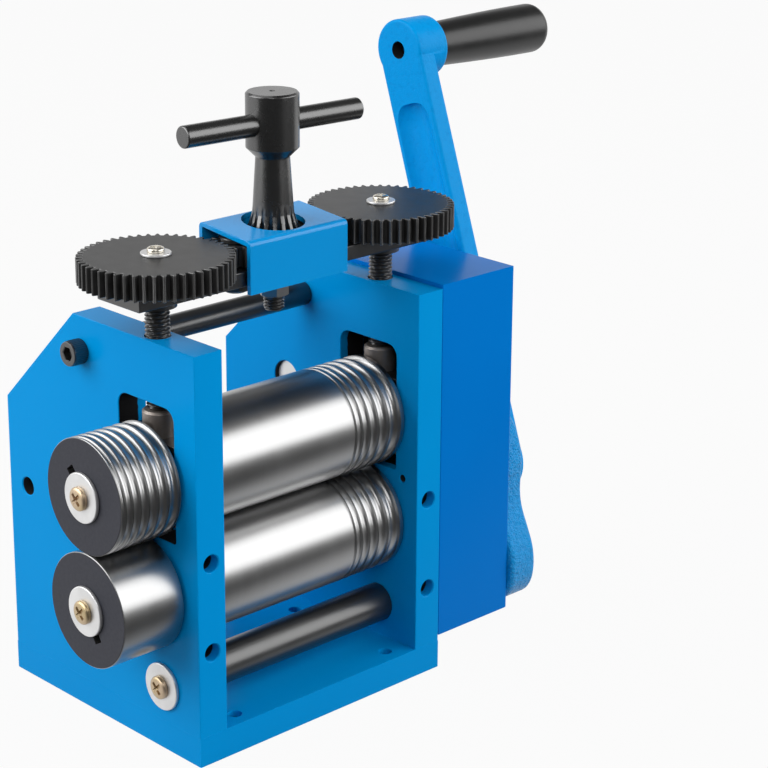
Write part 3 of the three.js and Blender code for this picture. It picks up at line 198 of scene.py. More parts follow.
def end_finish(bench, sockets):
    shader = bench.node("ShaderNodeBsdfPrincipled", {}, sockets)
    bench.node("ShaderNodeOutputMaterial", {}, {"Surface": shader})
    print("finish", len(finishes), "has", len(bench.tree.nodes), "nodes")


def grey(value):
    return (value, value, value, 1.0)


# %% [markdown]
# ### Blue paint
#
# The plates, the cover and the box are sprayed with gloss enamel. The colour hardly changes over a plate,
# and the gloss has a faint orange peel: a very low bump with waves a few millimetres long. The box is
# folded from sheet and has a deeper blue. The walls of the plates' windows are blue only in a narrow
# strip next to each inner face, and the rest gets a near-black colour, which is painted shade. A mask on
# the object's coordinates finds those walls, so it moves with the sizes that the plates are cut from.

# %% Mix the paint of the plates
plate_blue = (0.0, 0.285, 0.690, 1.0)
plate_blue_deep = (0.0, 0.265, 0.655, 1.0)
sheet_blue = (0.0, 0.178, 0.600, 1.0)
sheet_blue_deep = (0.0, 0.160, 0.565, 1.0)
# Near-black painted shade, for the window walls and the insides of holes.
painted_shade_dark = (0.012, 0.012, 0.013, 1.0)

line_y = -30.5
lower_axis = 64.7
upper_axis = 109.9
window_half = 16.5
window_low = 87.4
window_high = 140.2
plate_inner = 50.3
plate_outer = 63.6
paint_reach = 54.3
wall_skin = 0.25


def band(bench, value, low, high, soft):
    """1 between two sizes in millimetres, with soft ends."""
    rise = bench.ease(value, (low - soft) * MM, (low + soft) * MM)
    fall = bench.ease(value, (high - soft) * MM, (high + soft) * MM)
    return rise * (1 - fall)


def paint_finish(name, light, deep, peel, roughness, specular, windows):
    """Gloss enamel with an orange peel of the given height in mm."""
    bench, place = start_finish(name)
    cloud = bench.noise(place, 9.0, 3.0)
    colour = bench.mix(bench.ease(cloud, 0.35, 0.65) * 0.6, light, deep)
    grain = bench.noise(place, 700.0, 2.0)
    peel_height = bench.noise(place, 420.0, 1.0)
    rough = roughness + (grain - 0.5) * 0.04
    if windows:
        axes = bench.node("ShaderNodeSeparateXYZ", {}, {"Vector": place})
        reach = window_half + wall_skin
        across = band(bench, axes.side("Y"), line_y - reach, line_y + reach, 0.02)
        upright = band(bench, axes.side("Z"), window_low - wall_skin, window_high + wall_skin, 0.02)
        depth = abs(axes.side("X"))
        wobble = (bench.noise(place, 300.0, 2.0) - 0.5) * 0.0012
        painted = bench.ease(depth + wobble, (paint_reach - 0.2) * MM, (paint_reach + 0.2) * MM)
        inside = band(bench, depth, plate_inner + 0.5, plate_outer - 0.4, 0.05)
        # Past the blue strip the window walls get the near-black colour: painted shade.
        wall_shade = inside * across * upright * painted
        colour = bench.mix(wall_shade, colour, painted_shade_dark)
        rough = rough + wall_shade * 0.2
    sockets = {
        "Base Color": colour,
        "Roughness": rough,
        "Normal": bench.bump(peel_height, peel * MM),
        "Specular IOR Level": specular,
    }
    end_finish(bench, sockets)


paint_finish("blue_paint", plate_blue, plate_blue_deep, 0.006, 0.24, 0.04, windows=True)
paint_finish("cover_paint", plate_blue, plate_blue_deep, 0.005, 0.18, 0.35, windows=False)
paint_finish("housing_paint", sheet_blue, sheet_blue_deep, 0.005, 0.18, 0.04, windows=False)

# %% [markdown]
# ### Blue casting
#
# The crank's arm and the bearing bracket are sand castings. The sand leaves a rough skin that the paint
# doesn't hide: two layers of noise give the lumps, and the gloss on them gives the sparkle. The hollows
# between the lumps get a deeper blue, which is painted shade. The bracket is left as it was cast, and the
# arm is smoothed before it is painted, so it has the same finish with much lower lumps.

# %% Mix the paint of the castings
casting_blue = (0.0, 0.290, 0.700, 1.0)
# The deeper blue paints shade into the hollows of the cast skin.
casting_hollow_shade = (0.0, 0.260, 0.650, 1.0)


def casting_finish(name, depth, roughness, specular):
    """Paint over cast skin, with lumps of the given height in mm."""
    bench, place = start_finish(name)
    coarse = bench.noise(place, 420.0, 4.0, 0.62)
    fine = bench.noise(place, 1500.0, 2.0)
    height = coarse * 0.75 + fine * 0.25
    hollow = bench.ease(height, 0.34, 0.5)
    # The low parts of the lumps get the deeper blue: painted shade.
    colour = bench.mix(hollow, casting_hollow_shade, casting_blue)
    sockets = {
        "Base Color": colour,
        "Roughness": roughness + (1 - hollow) * 0.10,
        "Normal": bench.bump(height, depth * MM),
        "Specular IOR Level": specular,
    }
    end_finish(bench, sockets)


casting_finish("rough_casting", depth=1.8, roughness=0.22, specular=0.20)
casting_finish("arm_casting", depth=0.22, roughness=0.34, specular=0.06)

# %% [markdown]
# ### Steel of the rolls
#
# The rolls are ground on centres, so their marks run round them and change only along X. Stretching the
# noise's coordinates by a Mapping node gives such rings: many waves along X and none round the roll. Two
# sizes of ring vary the colour and the roughness, and the fine one lifts the surface by less than a
# thousandth of a millimetre. The ends of the side rollers are blackened, which a mask on X picks out.

# %% Grind the rolls
end_black = (0.030, 0.031, 0.040, 1.0)
end_black_worn = (0.048, 0.050, 0.062, 1.0)
ring_stretch = (1.0, 0.02, 0.02)
ring_height = 0.0003


def rings(bench, place, per_metre, detail=2.0):
    """Noise that runs round the X axis."""
    stretch = bench.node("ShaderNodeMapping", {}, {"Vector": place, "Scale": ring_stretch})
    return bench.noise(stretch, per_metre, detail)


def ground_finish(name, tone, roughness, metal_end=None):
    """Ground steel. Past metal_end, in mm to the left, it is blackened."""
    bench, place = start_finish(name)
    broad = rings(bench, place, 160.0)
    fine = rings(bench, place, 2600.0, 3.0)
    cloud = bench.noise(place, 60.0, 2.0)
    shine = broad * 0.5 + fine * 0.5
    colour = bench.mix(shine, grey(tone * 0.86), grey(tone))
    rough = roughness + (shine - 0.5) * 0.10 + (cloud - 0.5) * 0.04
    metal = 1.0
    if metal_end:
        axes = bench.node("ShaderNodeSeparateXYZ", {}, {"Vector": place})
        black = bench.ease(-1 * axes.side("X"), (metal_end - 0.30) * MM, (metal_end - 0.10) * MM)
        speck = bench.noise(place, 700.0, 3.0)
        black_tone = bench.mix(speck, end_black, end_black_worn)
        colour = bench.mix(black, colour, black_tone)
        rough = rough + black * 0.30
        metal = 1 - black
    sockets = {
        "Specular IOR Level": 0.2,
        "Base Color": colour,
        "Metallic": metal,
        "Roughness": rough,
        "Normal": bench.bump(fine, ring_height * MM),
    }
    end_finish(bench, sockets)


side_roller_end = 92.9
ground_finish("polished_steel", 0.41, 0.31)
ground_finish("roller_steel", 0.41, 0.30, metal_end=side_roller_end)
ground_finish("plain_steel", 0.34, 0.36)

# %% [markdown]
# ### Blackened steel, zinc and the rest
#
# Gears, screws and the T-handle are blackened: a dark layer over steel, satin, a little uneven. Tooth
# edges get a lighter twin of the same finish, which is a painted highlight, and the buttons under the
# pressure screws are worn bare. Washers are zinc plated, nearly white. The screws in the rolls have a
# yellow passivated zinc that drifts between straw and pink, and those in the top gears are nickel plated.
# The insides of drilled holes get a near-black colour, which is painted shade. One function makes all of
# these, with two tones, a roughness and the size of its grain.

# %% Mix the small finishes
def small_finish(name, first, second, roughness, metallic, waves=500.0, lift=0.004, index=1.5):
    """Two tones in clouds. Waves is how fine the grain is, and lift its height in mm."""
    bench, place = start_finish(name)
    cloud = bench.noise(place, waves * 0.2, 3.0)
    grain = bench.noise(place, waves * 3.0, 2.0)
    sockets = {
        "Base Color": bench.mix(bench.ease(cloud, 0.3, 0.7), first, second),
        "Metallic": metallic,
        "Roughness": roughness + (cloud - 0.5) * 0.12 + (grain - 0.5) * 0.06,
        "Normal": bench.bump(grain, lift * MM),
        "IOR": index,
    }
    end_finish(bench, sockets)


small_finish("black_steel", grey(0.007), grey(0.011), 0.33, 0.0, lift=0.0008, index=1.9)
small_finish("handle_black", grey(0.006), grey(0.009), 0.28, 0.0, waves=60.0, lift=0.0002, index=2.0)
small_finish("gear_black", grey(0.010), grey(0.018), 0.42, 0.0, waves=900.0, lift=0.006, index=1.6)
# Tooth edges: a lighter twin of the gear finish, a painted highlight.
small_finish("gear_edge_highlight", grey(0.12), grey(0.18), 0.40, 0.70)
small_finish("worn_steel", (0.24, 0.21, 0.19, 1.0), (0.36, 0.32, 0.29, 1.0), 0.46, 0.85)
# Near-black for the insides of drilled holes: painted shade.
small_finish("painted_hole_shade", painted_shade_dark, grey(0.018), 0.6, 0.0)
small_finish("zinc_plate", grey(0.68), grey(0.76), 0.38, 0.75)
small_finish("nickel", (0.62, 0.58, 0.49, 1.0), (0.70, 0.66, 0.58, 1.0), 0.26, 0.95)
small_finish("yellow_zinc", (0.50, 0.39, 0.22, 1.0), (0.56, 0.43, 0.31, 1.0), 0.34, 0.90)
small_finish("bronze", (0.58, 0.36, 0.16, 1.0), (0.50, 0.30, 0.13, 1.0), 0.36, 0.95)
small_finish("black_plastic", grey(0.007), grey(0.010), 0.36, 0.0, waves=1200.0, lift=0.006)

# %% [markdown]
# ## Tools for shaping
#
# Most pieces are lathe work or plate work, so two tools make nearly all of them. The first joins rings of
# points into a skin, and with a profile of (station, radius) pairs it is a lathe. The second cuts a plate
# from a flat outline, with its holes, and rounds every rim by moving the outline inwards in a few small
# steps. Both return closed shells that face outwards.

# %% Make a mesh, join rings and turn profiles
def turns(count):
    """Equal angles that make one whole turn."""
    return [2 * math.pi * i / count for i in range(count)]


def lay(axis, u, v, station):
    """A point drawn square to an axis: (y, z) for x, (z, x) for y and (x, y) for z."""
    if axis == "x":
        return (station, u, v)
    if axis == "y":
        return (v, station, u)
    return (u, v, station)


def raw_piece(name, points, faces):
    """A piece from points in mm, just as they come."""
    mesh = bpy.data.meshes.new(name)
    mesh.from_pydata([tuple(c * MM for c in p) for p in points], [], faces)
    piece = bpy.data.objects.new(name, mesh)
    bpy.context.scene.collection.objects.link(piece)
    return piece


def face_outwards(mesh, weld=0.0):
    """Turns every face outwards, after points closer than weld are merged."""
    work = bmesh.new()
    work.from_mesh(mesh)
    if weld:
        bmesh.ops.remove_doubles(work, verts=work.verts, dist=weld)
    bmesh.ops.recalc_face_normals(work, faces=work.faces)
    work.to_mesh(mesh)
    work.free()


def new_piece(name, points, faces):
    """A closed piece from points in mm."""
    piece = raw_piece(name, points, faces)
    face_outwards(piece.data, weld=1e-7)
    return piece


def skin(name, loops, endless=False):
    """Loops of equal length joined by quads. Without endless, each end is closed by one face."""
    count = len(loops[0])
    points = [p for loop in loops for p in loop]
    faces = []
    for i in range(len(loops) if endless else len(loops) - 1):
        low = i * count
        high = ((i + 1) % len(loops)) * count
        for j in range(count):
            k = (j + 1) % count
            faces.append((low + j, low + k, high + k, high + j))
    if not endless:
        faces.append(tuple(range(count)))
        faces.append(tuple(range(len(points) - count, len(points))))
    return new_piece(name, points, faces)


def polar(name, axis, rows, radius_at, centre=(0, 0), sides=96, hollow=False):
    """A turned skin whose radius may also change round the axis."""
    angles = turns(sides)
    loops = []
    for row, (station, radius) in enumerate(rows):
        reach = [radius_at(a, station, radius, row) for a in angles]
        loop = [(centre[0] + r * math.cos(a), centre[1] + r * math.sin(a)) for a, r in zip(angles, reach)]
        loops.append([lay(axis, u, v, station) for u, v in loop])
    return skin(name, loops, hollow)


def lathe(name, axis, profile, centre=(0, 0), sides=96, hollow=False):
    """A turned piece. A hollow one has a profile that closes on itself."""
    return polar(name, axis, profile, lambda a, s, r, row: r, centre, sides, hollow)


def eased(path, radius, steps=3, closed=False):
    """The path with its corners rounded."""
    out = []
    for i, here in enumerate(path):
        corner = Vector(here)
        back = Vector(path[i - 1]) - corner
        ahead = Vector(path[(i + 1) % len(path)]) - corner
        at_end = not closed and i in (0, len(path) - 1)
        opening = 0 if at_end else back.angle(ahead)
        if at_end or opening > math.radians(155):
            out.append(tuple(here))
            continue
        reach = min(radius / math.tan(opening / 2), 0.45 * back.length, 0.45 * ahead.length)
        start = corner + back.normalized() * reach
        end = corner + ahead.normalized() * reach
        for step in range(steps + 1):
            t = step / steps
            out.append(tuple((1 - t) ** 2 * start + 2 * t * (1 - t) * corner + t * t * end))
    return out


print("rings and profiles are ready")

# %% Cut plates from outlines
def circle(u, v, radius, count=48):
    return [(u + radius * math.cos(a), v + radius * math.sin(a)) for a in turns(count)]


def rectangle(u_low, u_high, v_low, v_high):
    return [(u_low, v_low), (u_high, v_low), (u_high, v_high), (u_low, v_high)]


def area(loop):
    """The area inside a loop, below zero where it runs clockwise."""
    return sum(a[0] * b[1] - b[0] * a[1] for a, b in zip(loop, loop[1:] + loop[:1])) / 2


def inset(loop, distance):
    """The loop moved to its left, which is into the material."""
    moved = []
    for i, here in enumerate(loop):
        before = Vector(here) - Vector(loop[i - 1])
        after = Vector(loop[(i + 1) % len(loop)]) - Vector(here)
        first = Vector((-before.y, before.x)).normalized()
        second = Vector((-after.y, after.x)).normalized()
        middle = (first + second).normalized()
        moved.append(tuple(Vector(here) + middle * distance / max(0.4, middle.dot(first))))
    return moved


def slab(name, axis, outline, holes, low, high, edge=0.4, rounds=3, foot=None):
    """A plate between two stations, with its holes and with every rim rounded but the foot's."""
    def shrunk(loop, distance):
        moved = zip(inset(loop, distance), loop)
        return [(u, foot) if old[1] == foot else (u, v) for (u, v), old in moved]

    loops = [outline if area(outline) > 0 else outline[::-1]]
    loops += [hole if area(hole) < 0 else hole[::-1] for hole in holes]
    angles = [math.pi / 2 * i / rounds for i in range(rounds + 1)]
    rim = [(edge * (1 - math.sin(a)), edge * (1 - math.cos(a))) for a in angles]
    levels = [(shrink, low + depth) for shrink, depth in rim]
    levels += [(shrink, high - depth) for shrink, depth in reversed(rim)]
    points = []
    faces = []
    starts = []
    for shrink, station in levels:
        starts.append(len(points))
        for loop in loops:
            points += [lay(axis, u, v, station) for u, v in shrunk(loop, shrink)]
    for below, above in zip(starts, starts[1:]):
        offset = 0
        for loop in loops:
            count = len(loop)
            for j in range(count):
                k = (j + 1) % count
                corners = (below + j, below + k, above + k, above + j)
                faces.append(tuple(offset + corner for corner in corners))
            offset += count
    flat = [[Vector((u, v, 0)) for u, v in shrunk(loop, edge)] for loop in loops]
    for a, b, c in tessellate_polygon(flat):
        faces.append((starts[0] + a, starts[0] + b, starts[0] + c))
        faces.append((starts[-1] + a, starts[-1] + b, starts[-1] + c))
    return new_piece(name, points, faces)


print("plates can be cut")

# %% [markdown]
# Holes that cross a plate are drilled afterwards, with the Boolean modifier. Each result is turned back
# into a plain mesh. A last step smooths the shading, keeps real corners sharp, and lets the large flat
# faces lead where they meet a rounded rim, so that the flat stays flat to the eye. Pieces that touch are
# drawn a small gap apart, as in the CAD model, and a hole is wider than its screw by that gap all round.

# %% Drill, join and finish the shading
gap = 0.06


def clear(diameter):
    """The hole for a pin or screw of this diameter."""
    return diameter + 2 * gap


def settle(piece):
    """Applies what the modifiers do and removes them."""
    seen = piece.evaluated_get(bpy.context.evaluated_depsgraph_get())
    plain = bpy.data.meshes.new_from_object(seen)
    piece.modifiers.clear()
    piece.data = plain
    return piece


def work_with(piece, operation, tools):
    """Cuts or joins with each tool in turn and removes the tools."""
    for tool in tools:
        step = piece.modifiers.new("work", "BOOLEAN")
        step.operation = operation
        step.solver = "EXACT"
        step.object = tool
    settle(piece)
    for tool in tools:
        bpy.data.objects.remove(tool)
    return piece


def cut(piece, *tools):
    return work_with(piece, "DIFFERENCE", tools)


def join(piece, *tools):
    return work_with(piece, "UNION", tools)


def drill(axis, low, high, diameter, u=0, v=0, sides=48):
    """A round tool for cut, between two stations."""
    radius = diameter / 2
    return lathe("drill", axis, [(low, radius), (high, radius)], (u, v), sides)


def shade(piece, sharp=38):
    """Smooth shading, but for edges that turn by more than sharp degrees."""
    piece.data.shade_smooth()
    piece.data.set_sharp_from_angle(angle=math.radians(sharp))
    flat_first = piece.modifiers.new("flat_first", "WEIGHTED_NORMAL")
    flat_first.keep_sharp = True
    return settle(piece)


def dress(piece, finish, body, slot, *nodes):
    """Gives a piece its finish and its place among the moving bodies."""
    if finish:
        piece.data.materials.clear()
        piece.data.materials.append(finishes[finish])
    shade(piece)
    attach(piece, body)
    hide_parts(*nodes)
    print(piece.name, len(piece.data.polygons), "faces")
    return piece


def coat(piece, finish, chosen):
    """Gives a second finish to the faces whose middle, in mm, passes the test."""
    piece.data.materials.append(finishes[finish])
    last = len(piece.data.materials) - 1
    for face in piece.data.polygons:
        if chosen(face.center / MM):
            face.material_index = last


# %% [markdown]
# ## Plates and base
#
# The two side plates are 13 mm steel, 119 mm deep and 152 mm high, with a long chamfer at the back. A
# window in each holds the sliding block of the upper roll. Tapped holes in the front edges take a guard
# or a feed table. The faces inside the small holes get a near-black finish, which paints in their shade.
# A test on the middle of each face finds them.

# %% Draw the side plates
front = -59.5
back = 59.5
plate_middle = (plate_inner + plate_outer) / 2
plate_foot = 12.0
plate_top = 164.3
top_edge_back = 13.4
back_edge_top = 119.5
bush_bore = 26.72
screw_bore = 10.2
spring_floor = 81.4
spring_bore = 8.6
foot_hole_top = 29
foot_screw_rows = (front + 9.5, back - 9.5)


def side_outline(bottom, rise):
    """The plates' outline as (y, z), with its foot at bottom and its top raised."""
    edge_top = back_edge_top + rise
    top = plate_top + rise
    return [(front, bottom), (back, bottom), (back, edge_top), (top_edge_back, top), (front, top)]


def rounded_box(u_low, u_high, v_low, v_high, low_radius, high_radius, steps=8):
    """A rectangle with one radius at its low corners and another at its high ones."""
    corners = [
        (u_low + low_radius, v_low + low_radius, low_radius, 180),
        (u_high - low_radius, v_low + low_radius, low_radius, 270),
        (u_high - high_radius, v_high - high_radius, high_radius, 0),
        (u_low + high_radius, v_high - high_radius, high_radius, 90),
    ]
    loop = []
    for u, v, radius, start in corners:
        for step in range(steps + 1):
            a = math.radians(start + 90 * step / steps)
            loop.append((u + radius * math.cos(a), v + radius * math.sin(a)))
    return loop


def blind_hole(axis, mouth, direction, depth, diameter, u, v):
    """A drilled hole with a small chamfer at its mouth and a pointed floor."""
    radius = diameter / 2
    chamfer = 0.4
    over = 1
    stations = [(-over, radius + chamfer + over), (chamfer, radius), (chamfer + 4, radius)]
    stations += [(depth, radius), (depth + radius * 0.6, 0.05)]
    profile = [(mouth + direction * along, r) for along, r in stations]
    return lathe("drill", axis, profile, (u, v), 48)


def side_plate(name, side, through, blind):
    """A side plate with its window, its roll bore, holes through it and blind holes."""
    low, high = sorted((side * plate_inner, side * plate_outer))
    window = rounded_box(line_y - window_half, line_y + window_half, window_low, window_high, 1.5, 5)
    holes = [window, circle(line_y, lower_axis, bush_bore / 2, 64)]
    holes += [circle(y, z, diameter / 2) for y, z, diameter in through]
    plate = slab(name, "x", side_outline(plate_foot, 0), holes, low, high, 0.4, foot=plate_foot)
    tools = [
        drill("z", window_high - 1, plate_top + 1, screw_bore, side * plate_middle, line_y),
        drill("z", spring_floor, window_low + 1, spring_bore, side * plate_middle, line_y),
    ]
    for y in foot_screw_rows:
        tools.append(drill("z", plate_foot - 1, foot_hole_top, clear(6), side * plate_middle, y))
    return cut(plate, *tools, *blind)


def deep_in_plate(p):
    """True inside the plates' small holes, whose faces get painted shade."""
    in_window = abs(p.y - line_y) < window_half + 1 and window_low - 1 < p.z < window_high + 1
    deep_x = abs(abs(p.x) - plate_middle) < (plate_outer - plate_inner) / 2 - 1.2
    deep_y = front + 2.6 < p.y < back - 1.5
    fall = (plate_top - back_edge_top) / (back - top_edge_back)
    roof = plate_top - fall * max(0, p.y - top_edge_back)
    return deep_x and deep_y and plate_foot + 1 < p.z < roof - 1.5 and not in_window


print("a side plate can be drawn")

# %% Cut the side plates
upper_tie = (front + 67.8, 150.5)
lower_tie = (front + 21.7, 26.7)
stay_place = (front + 79.3, 110.5)
guard_depth = 11
guard_hole = 7

left_blind = [blind_hole("y", front, 1, guard_depth, guard_hole, z, -plate_middle) for z in (45.9, 82)]
left_blind.append(blind_hole("x", -plate_outer, 1, 9, 7.4, back - 12, 83.8))
left = side_plate("left_plate", -1, [(*upper_tie, 6.6), (*lower_tie, 6.6)], left_blind)
dress(left, "blue_paint", "frame", "blue_paint", "left_side_plate")
# The faces inside the small holes get painted shade.
coat(left, "painted_hole_shade", deep_in_plate)

right_blind = [blind_hole("y", front, 1, guard_depth, guard_hole, z, plate_middle) for z in (37.5, 76.3)]
right_blind.append(blind_hole("x", plate_inner, 1, 5, 3, front + 8.6, 84.9))
right_through = [(*upper_tie, clear(8)), (*lower_tie, clear(10)), (*stay_place, 14.64)]
right = side_plate("right_plate", 1, right_through, right_blind)
dress(right, "blue_paint", "frame", "blue_paint", "right_side_plate")
# The faces inside the small holes get painted shade.
coat(right, "painted_hole_shade", deep_in_plate)

# %% Cut the base and set its screws
base_top = 12
bench_bore = 5.5
bench_holes = [(side * 40.3, y) for side in (-1, 1) for y in (front + 7.5, front + 63.1)]
foot_screws = [(side * plate_middle, y) for side in (-1, 1) for y in foot_screw_rows]
base_outline = rectangle(-plate_outer, plate_outer, front, back)
base_holes = [circle(x, y, bench_bore / 2) for x, y in bench_holes]
base_holes += [circle(x, y, clear(6) / 2) for x, y in foot_screws]
base = slab("base", "z", base_outline, base_holes, 0, base_top, 0.15)
sinks = [lathe("sink", "z", [(-1, 6.56), (2.6, 2.96)], (x, y), 48) for x, y in foot_screws]
cut(base, *sinks)
dress(base, "blue_paint", "frame", "blue_paint", "base_plate")

# %% [markdown]
# ## Screws
#
# The four countersunk screws of the base are alike, so one is modelled and then set on points with
# Geometry Nodes. The tree instances the screw on the vertices of a small mesh, realizes the copies and
# gives them their finish, so the result is one plain mesh. The other screws differ in size, and a
# function makes each kind.

# %% Build a tree that sets copies on points
def new_tree(name, sockets):
    """A Geometry Nodes tree with named inputs and one mesh output."""
    tree = bpy.data.node_groups.new(name, "GeometryNodeTree")
    bench = Bench(tree)
    tree.interface.new_socket("Geometry", in_out="INPUT", socket_type="NodeSocketGeometry")
    for label, kind in sockets.items():
        tree.interface.new_socket(label, in_out="INPUT", socket_type="NodeSocket" + kind)
    tree.interface.new_socket("Geometry", in_out="OUTPUT", socket_type="NodeSocketGeometry")
    return bench, bench.node("NodeGroupInput")


def end_tree(bench, mesh, finish):
    """Real geometry in place of instances, with its finish."""
    solid = bench.node("GeometryNodeRealizeInstances", {}, {"Geometry": mesh})
    coated = bench.node("GeometryNodeSetMaterial", {}, {"Geometry": solid, "Material": finish})
    return coated


def run_tree(piece, bench, values):
    """Runs a tree on a piece with the given inputs and keeps the plain mesh."""
    step = piece.modifiers.new("nodes", "NODES")
    step.node_group = bench.tree
    for socket in bench.tree.interface.items_tree:
        if socket.in_out == "INPUT" and socket.name in values:
            step[socket.identifier] = values[socket.name]
    return settle(piece)


copies, given = new_tree("copies_on_points", {"Piece": "Object", "Finish": "Material"})
original = copies.node("GeometryNodeObjectInfo", {}, {"Object": given.side("Piece")}, output="Geometry")
points = copies.node("GeometryNodeMeshToPoints", {}, {"Mesh": given.side("Geometry")})
placed = copies.node("GeometryNodeInstanceOnPoints", {}, {"Points": points, "Instance": original})
copies.node("NodeGroupOutput", {}, {"Geometry": end_tree(copies, placed, given.side("Finish"))})


def set_copies(name, piece, places, finish):
    """One mesh that holds a copy of the piece at each place."""
    holder = raw_piece(name, places, [])
    run_tree(holder, copies, {"Piece": piece, "Finish": finishes[finish]})
    bpy.data.objects.remove(piece)
    return holder


print("a tree sets copies on points")

# %% [markdown]
# A cross recess is a tapered plus sign, and a socket is a hexagon. Both are cut into a turned head. The
# head of a socket screw is knurled, which is only a small ripple on its radius.

# %% Make pan heads, socket heads and countersunk screws
def cross_bit(axis, crown, direction, size, depth, centre):
    """The tapered cross of a screwdriver, turned by 45 degrees."""
    diagonal = 0.7071

    def loop(reach, half, along):
        flat = [(reach, half), (half, half), (half, reach), (-half, reach), (-half, half), (-reach, half)]
        flat += [(-u, -v) for u, v in flat]
        turned = [((u - v) * diagonal, (u + v) * diagonal) for u, v in flat]
        return [lay(axis, centre[0] + u, centre[1] + v, crown + direction * along) for u, v in turned]

    half = size * 0.13
    levels = [(0.56, half, 0.6), (0.5, half, 0), (0.30, half * 0.7, -depth)]
    return skin("bit", [loop(size * reach, width, along) for reach, width, along in levels])


def pan_screw(name, axis, seat, direction, centre, head, height, shank, reach):
    """A screw with a low domed head and a cross recess. Its head points in the direction given."""
    radius = head / 2
    profile = [(seat - direction * reach, shank / 2 - 0.4), (seat - direction * (reach - 0.5), shank / 2)]
    profile += [(seat, shank / 2), (seat, radius - 0.15), (seat + direction * 0.2, radius)]
    dome = 9
    for step in range(dome + 1):
        a = math.pi / 2 * step / dome
        along = height * (0.48 + 0.52 * math.sin(a))
        profile.append((seat + direction * along, radius * (0.10 + 0.90 * math.cos(a) ** 0.55)))
    screw = lathe(name, axis, profile, centre, 64)
    crown = seat + direction * height
    return cut(screw, cross_bit(axis, crown, direction, head * 0.62, height * 0.7, centre))


def hexagon(across):
    corner = across / 2 / math.cos(math.pi / 6)
    angles = [math.radians(60 * i) for i in range(6)]
    return [(corner * math.cos(a), corner * math.sin(a)) for a in angles]


def cap_screw(name, axis, seat, direction, centre, head, height, shank, reach, socket, depth):
    """A screw with a tall knurled head and a hexagon socket."""
    radius = head / 2
    ridges = 36
    knurl = 0.16
    crown = seat + direction * height
    rows = [
        (seat - direction * reach, shank / 2),
        (seat, shank / 2),
        (seat, radius - 0.3),
        (seat + direction * 0.3, radius),
        (crown - direction * 1.1, radius),
        (crown - direction * 0.9, radius - knurl),
        (crown - direction * 0.45, radius - knurl),
        (crown - direction * 0.13, radius - 0.29),
        (crown, radius - 0.6),
    ]

    def knurled(angle, station, r, row):
        return r - knurl * abs(math.sin(angle * ridges / 2)) if row in (3, 4) else r

    def socket_ring(wide, along):
        ring = [(centre[0] + u * wide, centre[1] + v * wide) for u, v in hexagon(socket)]
        return [lay(axis, u, v, crown + direction * along) for u, v in ring]

    screw = polar(name, axis, rows, knurled, centre, ridges * 6)
    levels = [(1.12, 0.5), (1.12, 0), (1, -0.35), (1, -depth), (0.1, -depth - 0.9)]
    return cut(screw, skin("key", [socket_ring(wide, along) for wide, along in levels]))


pan_head = (9.2, 2.1)
print("screws can be made")

# %% Set the screws of the base
sunk = lathe("sunk", "z", [(gap, 5.4), (0.35, 5.5), (2.9, 3), (28, 3)], (0, 0), 48)
cut(sunk, skin("key", [[(u, v, s) for u, v in hexagon(4)] for s in (-1, 2.2)]))
base_screws = set_copies("base_screws", sunk, [(x, y, 0) for x, y in foot_screws], "plain_steel")
names = [f"base_screw_{side}_{end}" for side in ("left", "right") for end in ("front", "rear")]
dress(base_screws, None, "frame", "plain_steel", *names)

# %% [markdown]
# ## Threads
#
# A thread is a cylinder whose radius follows the height and the angle together. The tree reads both from
# each point's position and moves the point inwards where the groove runs. In the last millimetre of each
# end the rod narrows to the bottom of its groove, as a real thread starts. The pressure screws, the
# T-handle's foot and the crank's end are cut with it.

# %% Cut threads with a tree
thread_sizes = dict.fromkeys(("Length", "Radius", "Pitch", "Depth"), "Float")
thread, given = new_tree("thread", {**thread_sizes, "Finish": "Material"})
blank_inputs = {"Vertices": 48, "Side Segments": 220}
blank_inputs.update({"Radius": given.side("Radius"), "Depth": given.side("Length")})
blank = thread.node("GeometryNodeMeshCylinder", {}, blank_inputs)
spot = thread.node("GeometryNodeInputPosition")
axes = thread.node("ShaderNodeSeparateXYZ", {}, {"Vector": spot})
winding = axes.sum("ARCTAN2", axes.side("Y"), axes.side("X")) / (2 * math.pi)
climb = axes.side("Z") / given.side("Pitch") - winding
wave = abs(climb.sum("FRACT", climb) * 2 - 1)
groove = thread.ease(wave, 0.08, 0.92)
end_gap = given.side("Length") * 0.5 - abs(axes.side("Z"))
pointed = 1 - thread.ease(end_gap, 0.0, 0.001)
depth = groove.sum("MAXIMUM", groove, pointed) * given.side("Depth")
scale = 1 - depth / given.side("Radius")
narrowed = {"X": axes.side("X") * scale, "Y": axes.side("Y") * scale, "Z": axes.side("Z")}
moved = thread.node("ShaderNodeCombineXYZ", {}, narrowed)
cut_thread = thread.node("GeometryNodeSetPosition", {}, {"Geometry": blank, "Position": moved})
thread.node("NodeGroupOutput", {}, {"Geometry": end_tree(thread, cut_thread, given.side("Finish"))})


def threaded_rod(name, low, high, diameter, pitch, u, v):
    """A threaded rod along Z."""
    rod = new_piece(name, [(0, 0, 0)], [])
    sizes = {"Length": high - low, "Radius": diameter / 2, "Pitch": pitch, "Depth": pitch * 0.55}
    values = {label: size * MM for label, size in sizes.items()}
    run_tree(rod, thread, {**values, "Finish": finishes["black_steel"]})
    rod.data.transform(shift(u, v, (low + high) / 2))
    return rod


print("threads can be cut")

# %% [markdown]
# ## Tie rods
#
# Two black rods hold the plates apart. Each has a thinner end that sits in the right plate and a threaded
# hole in its left end. The upper one is held by a knurled socket screw, the lower one by a pan head on a
# broad zinc washer.

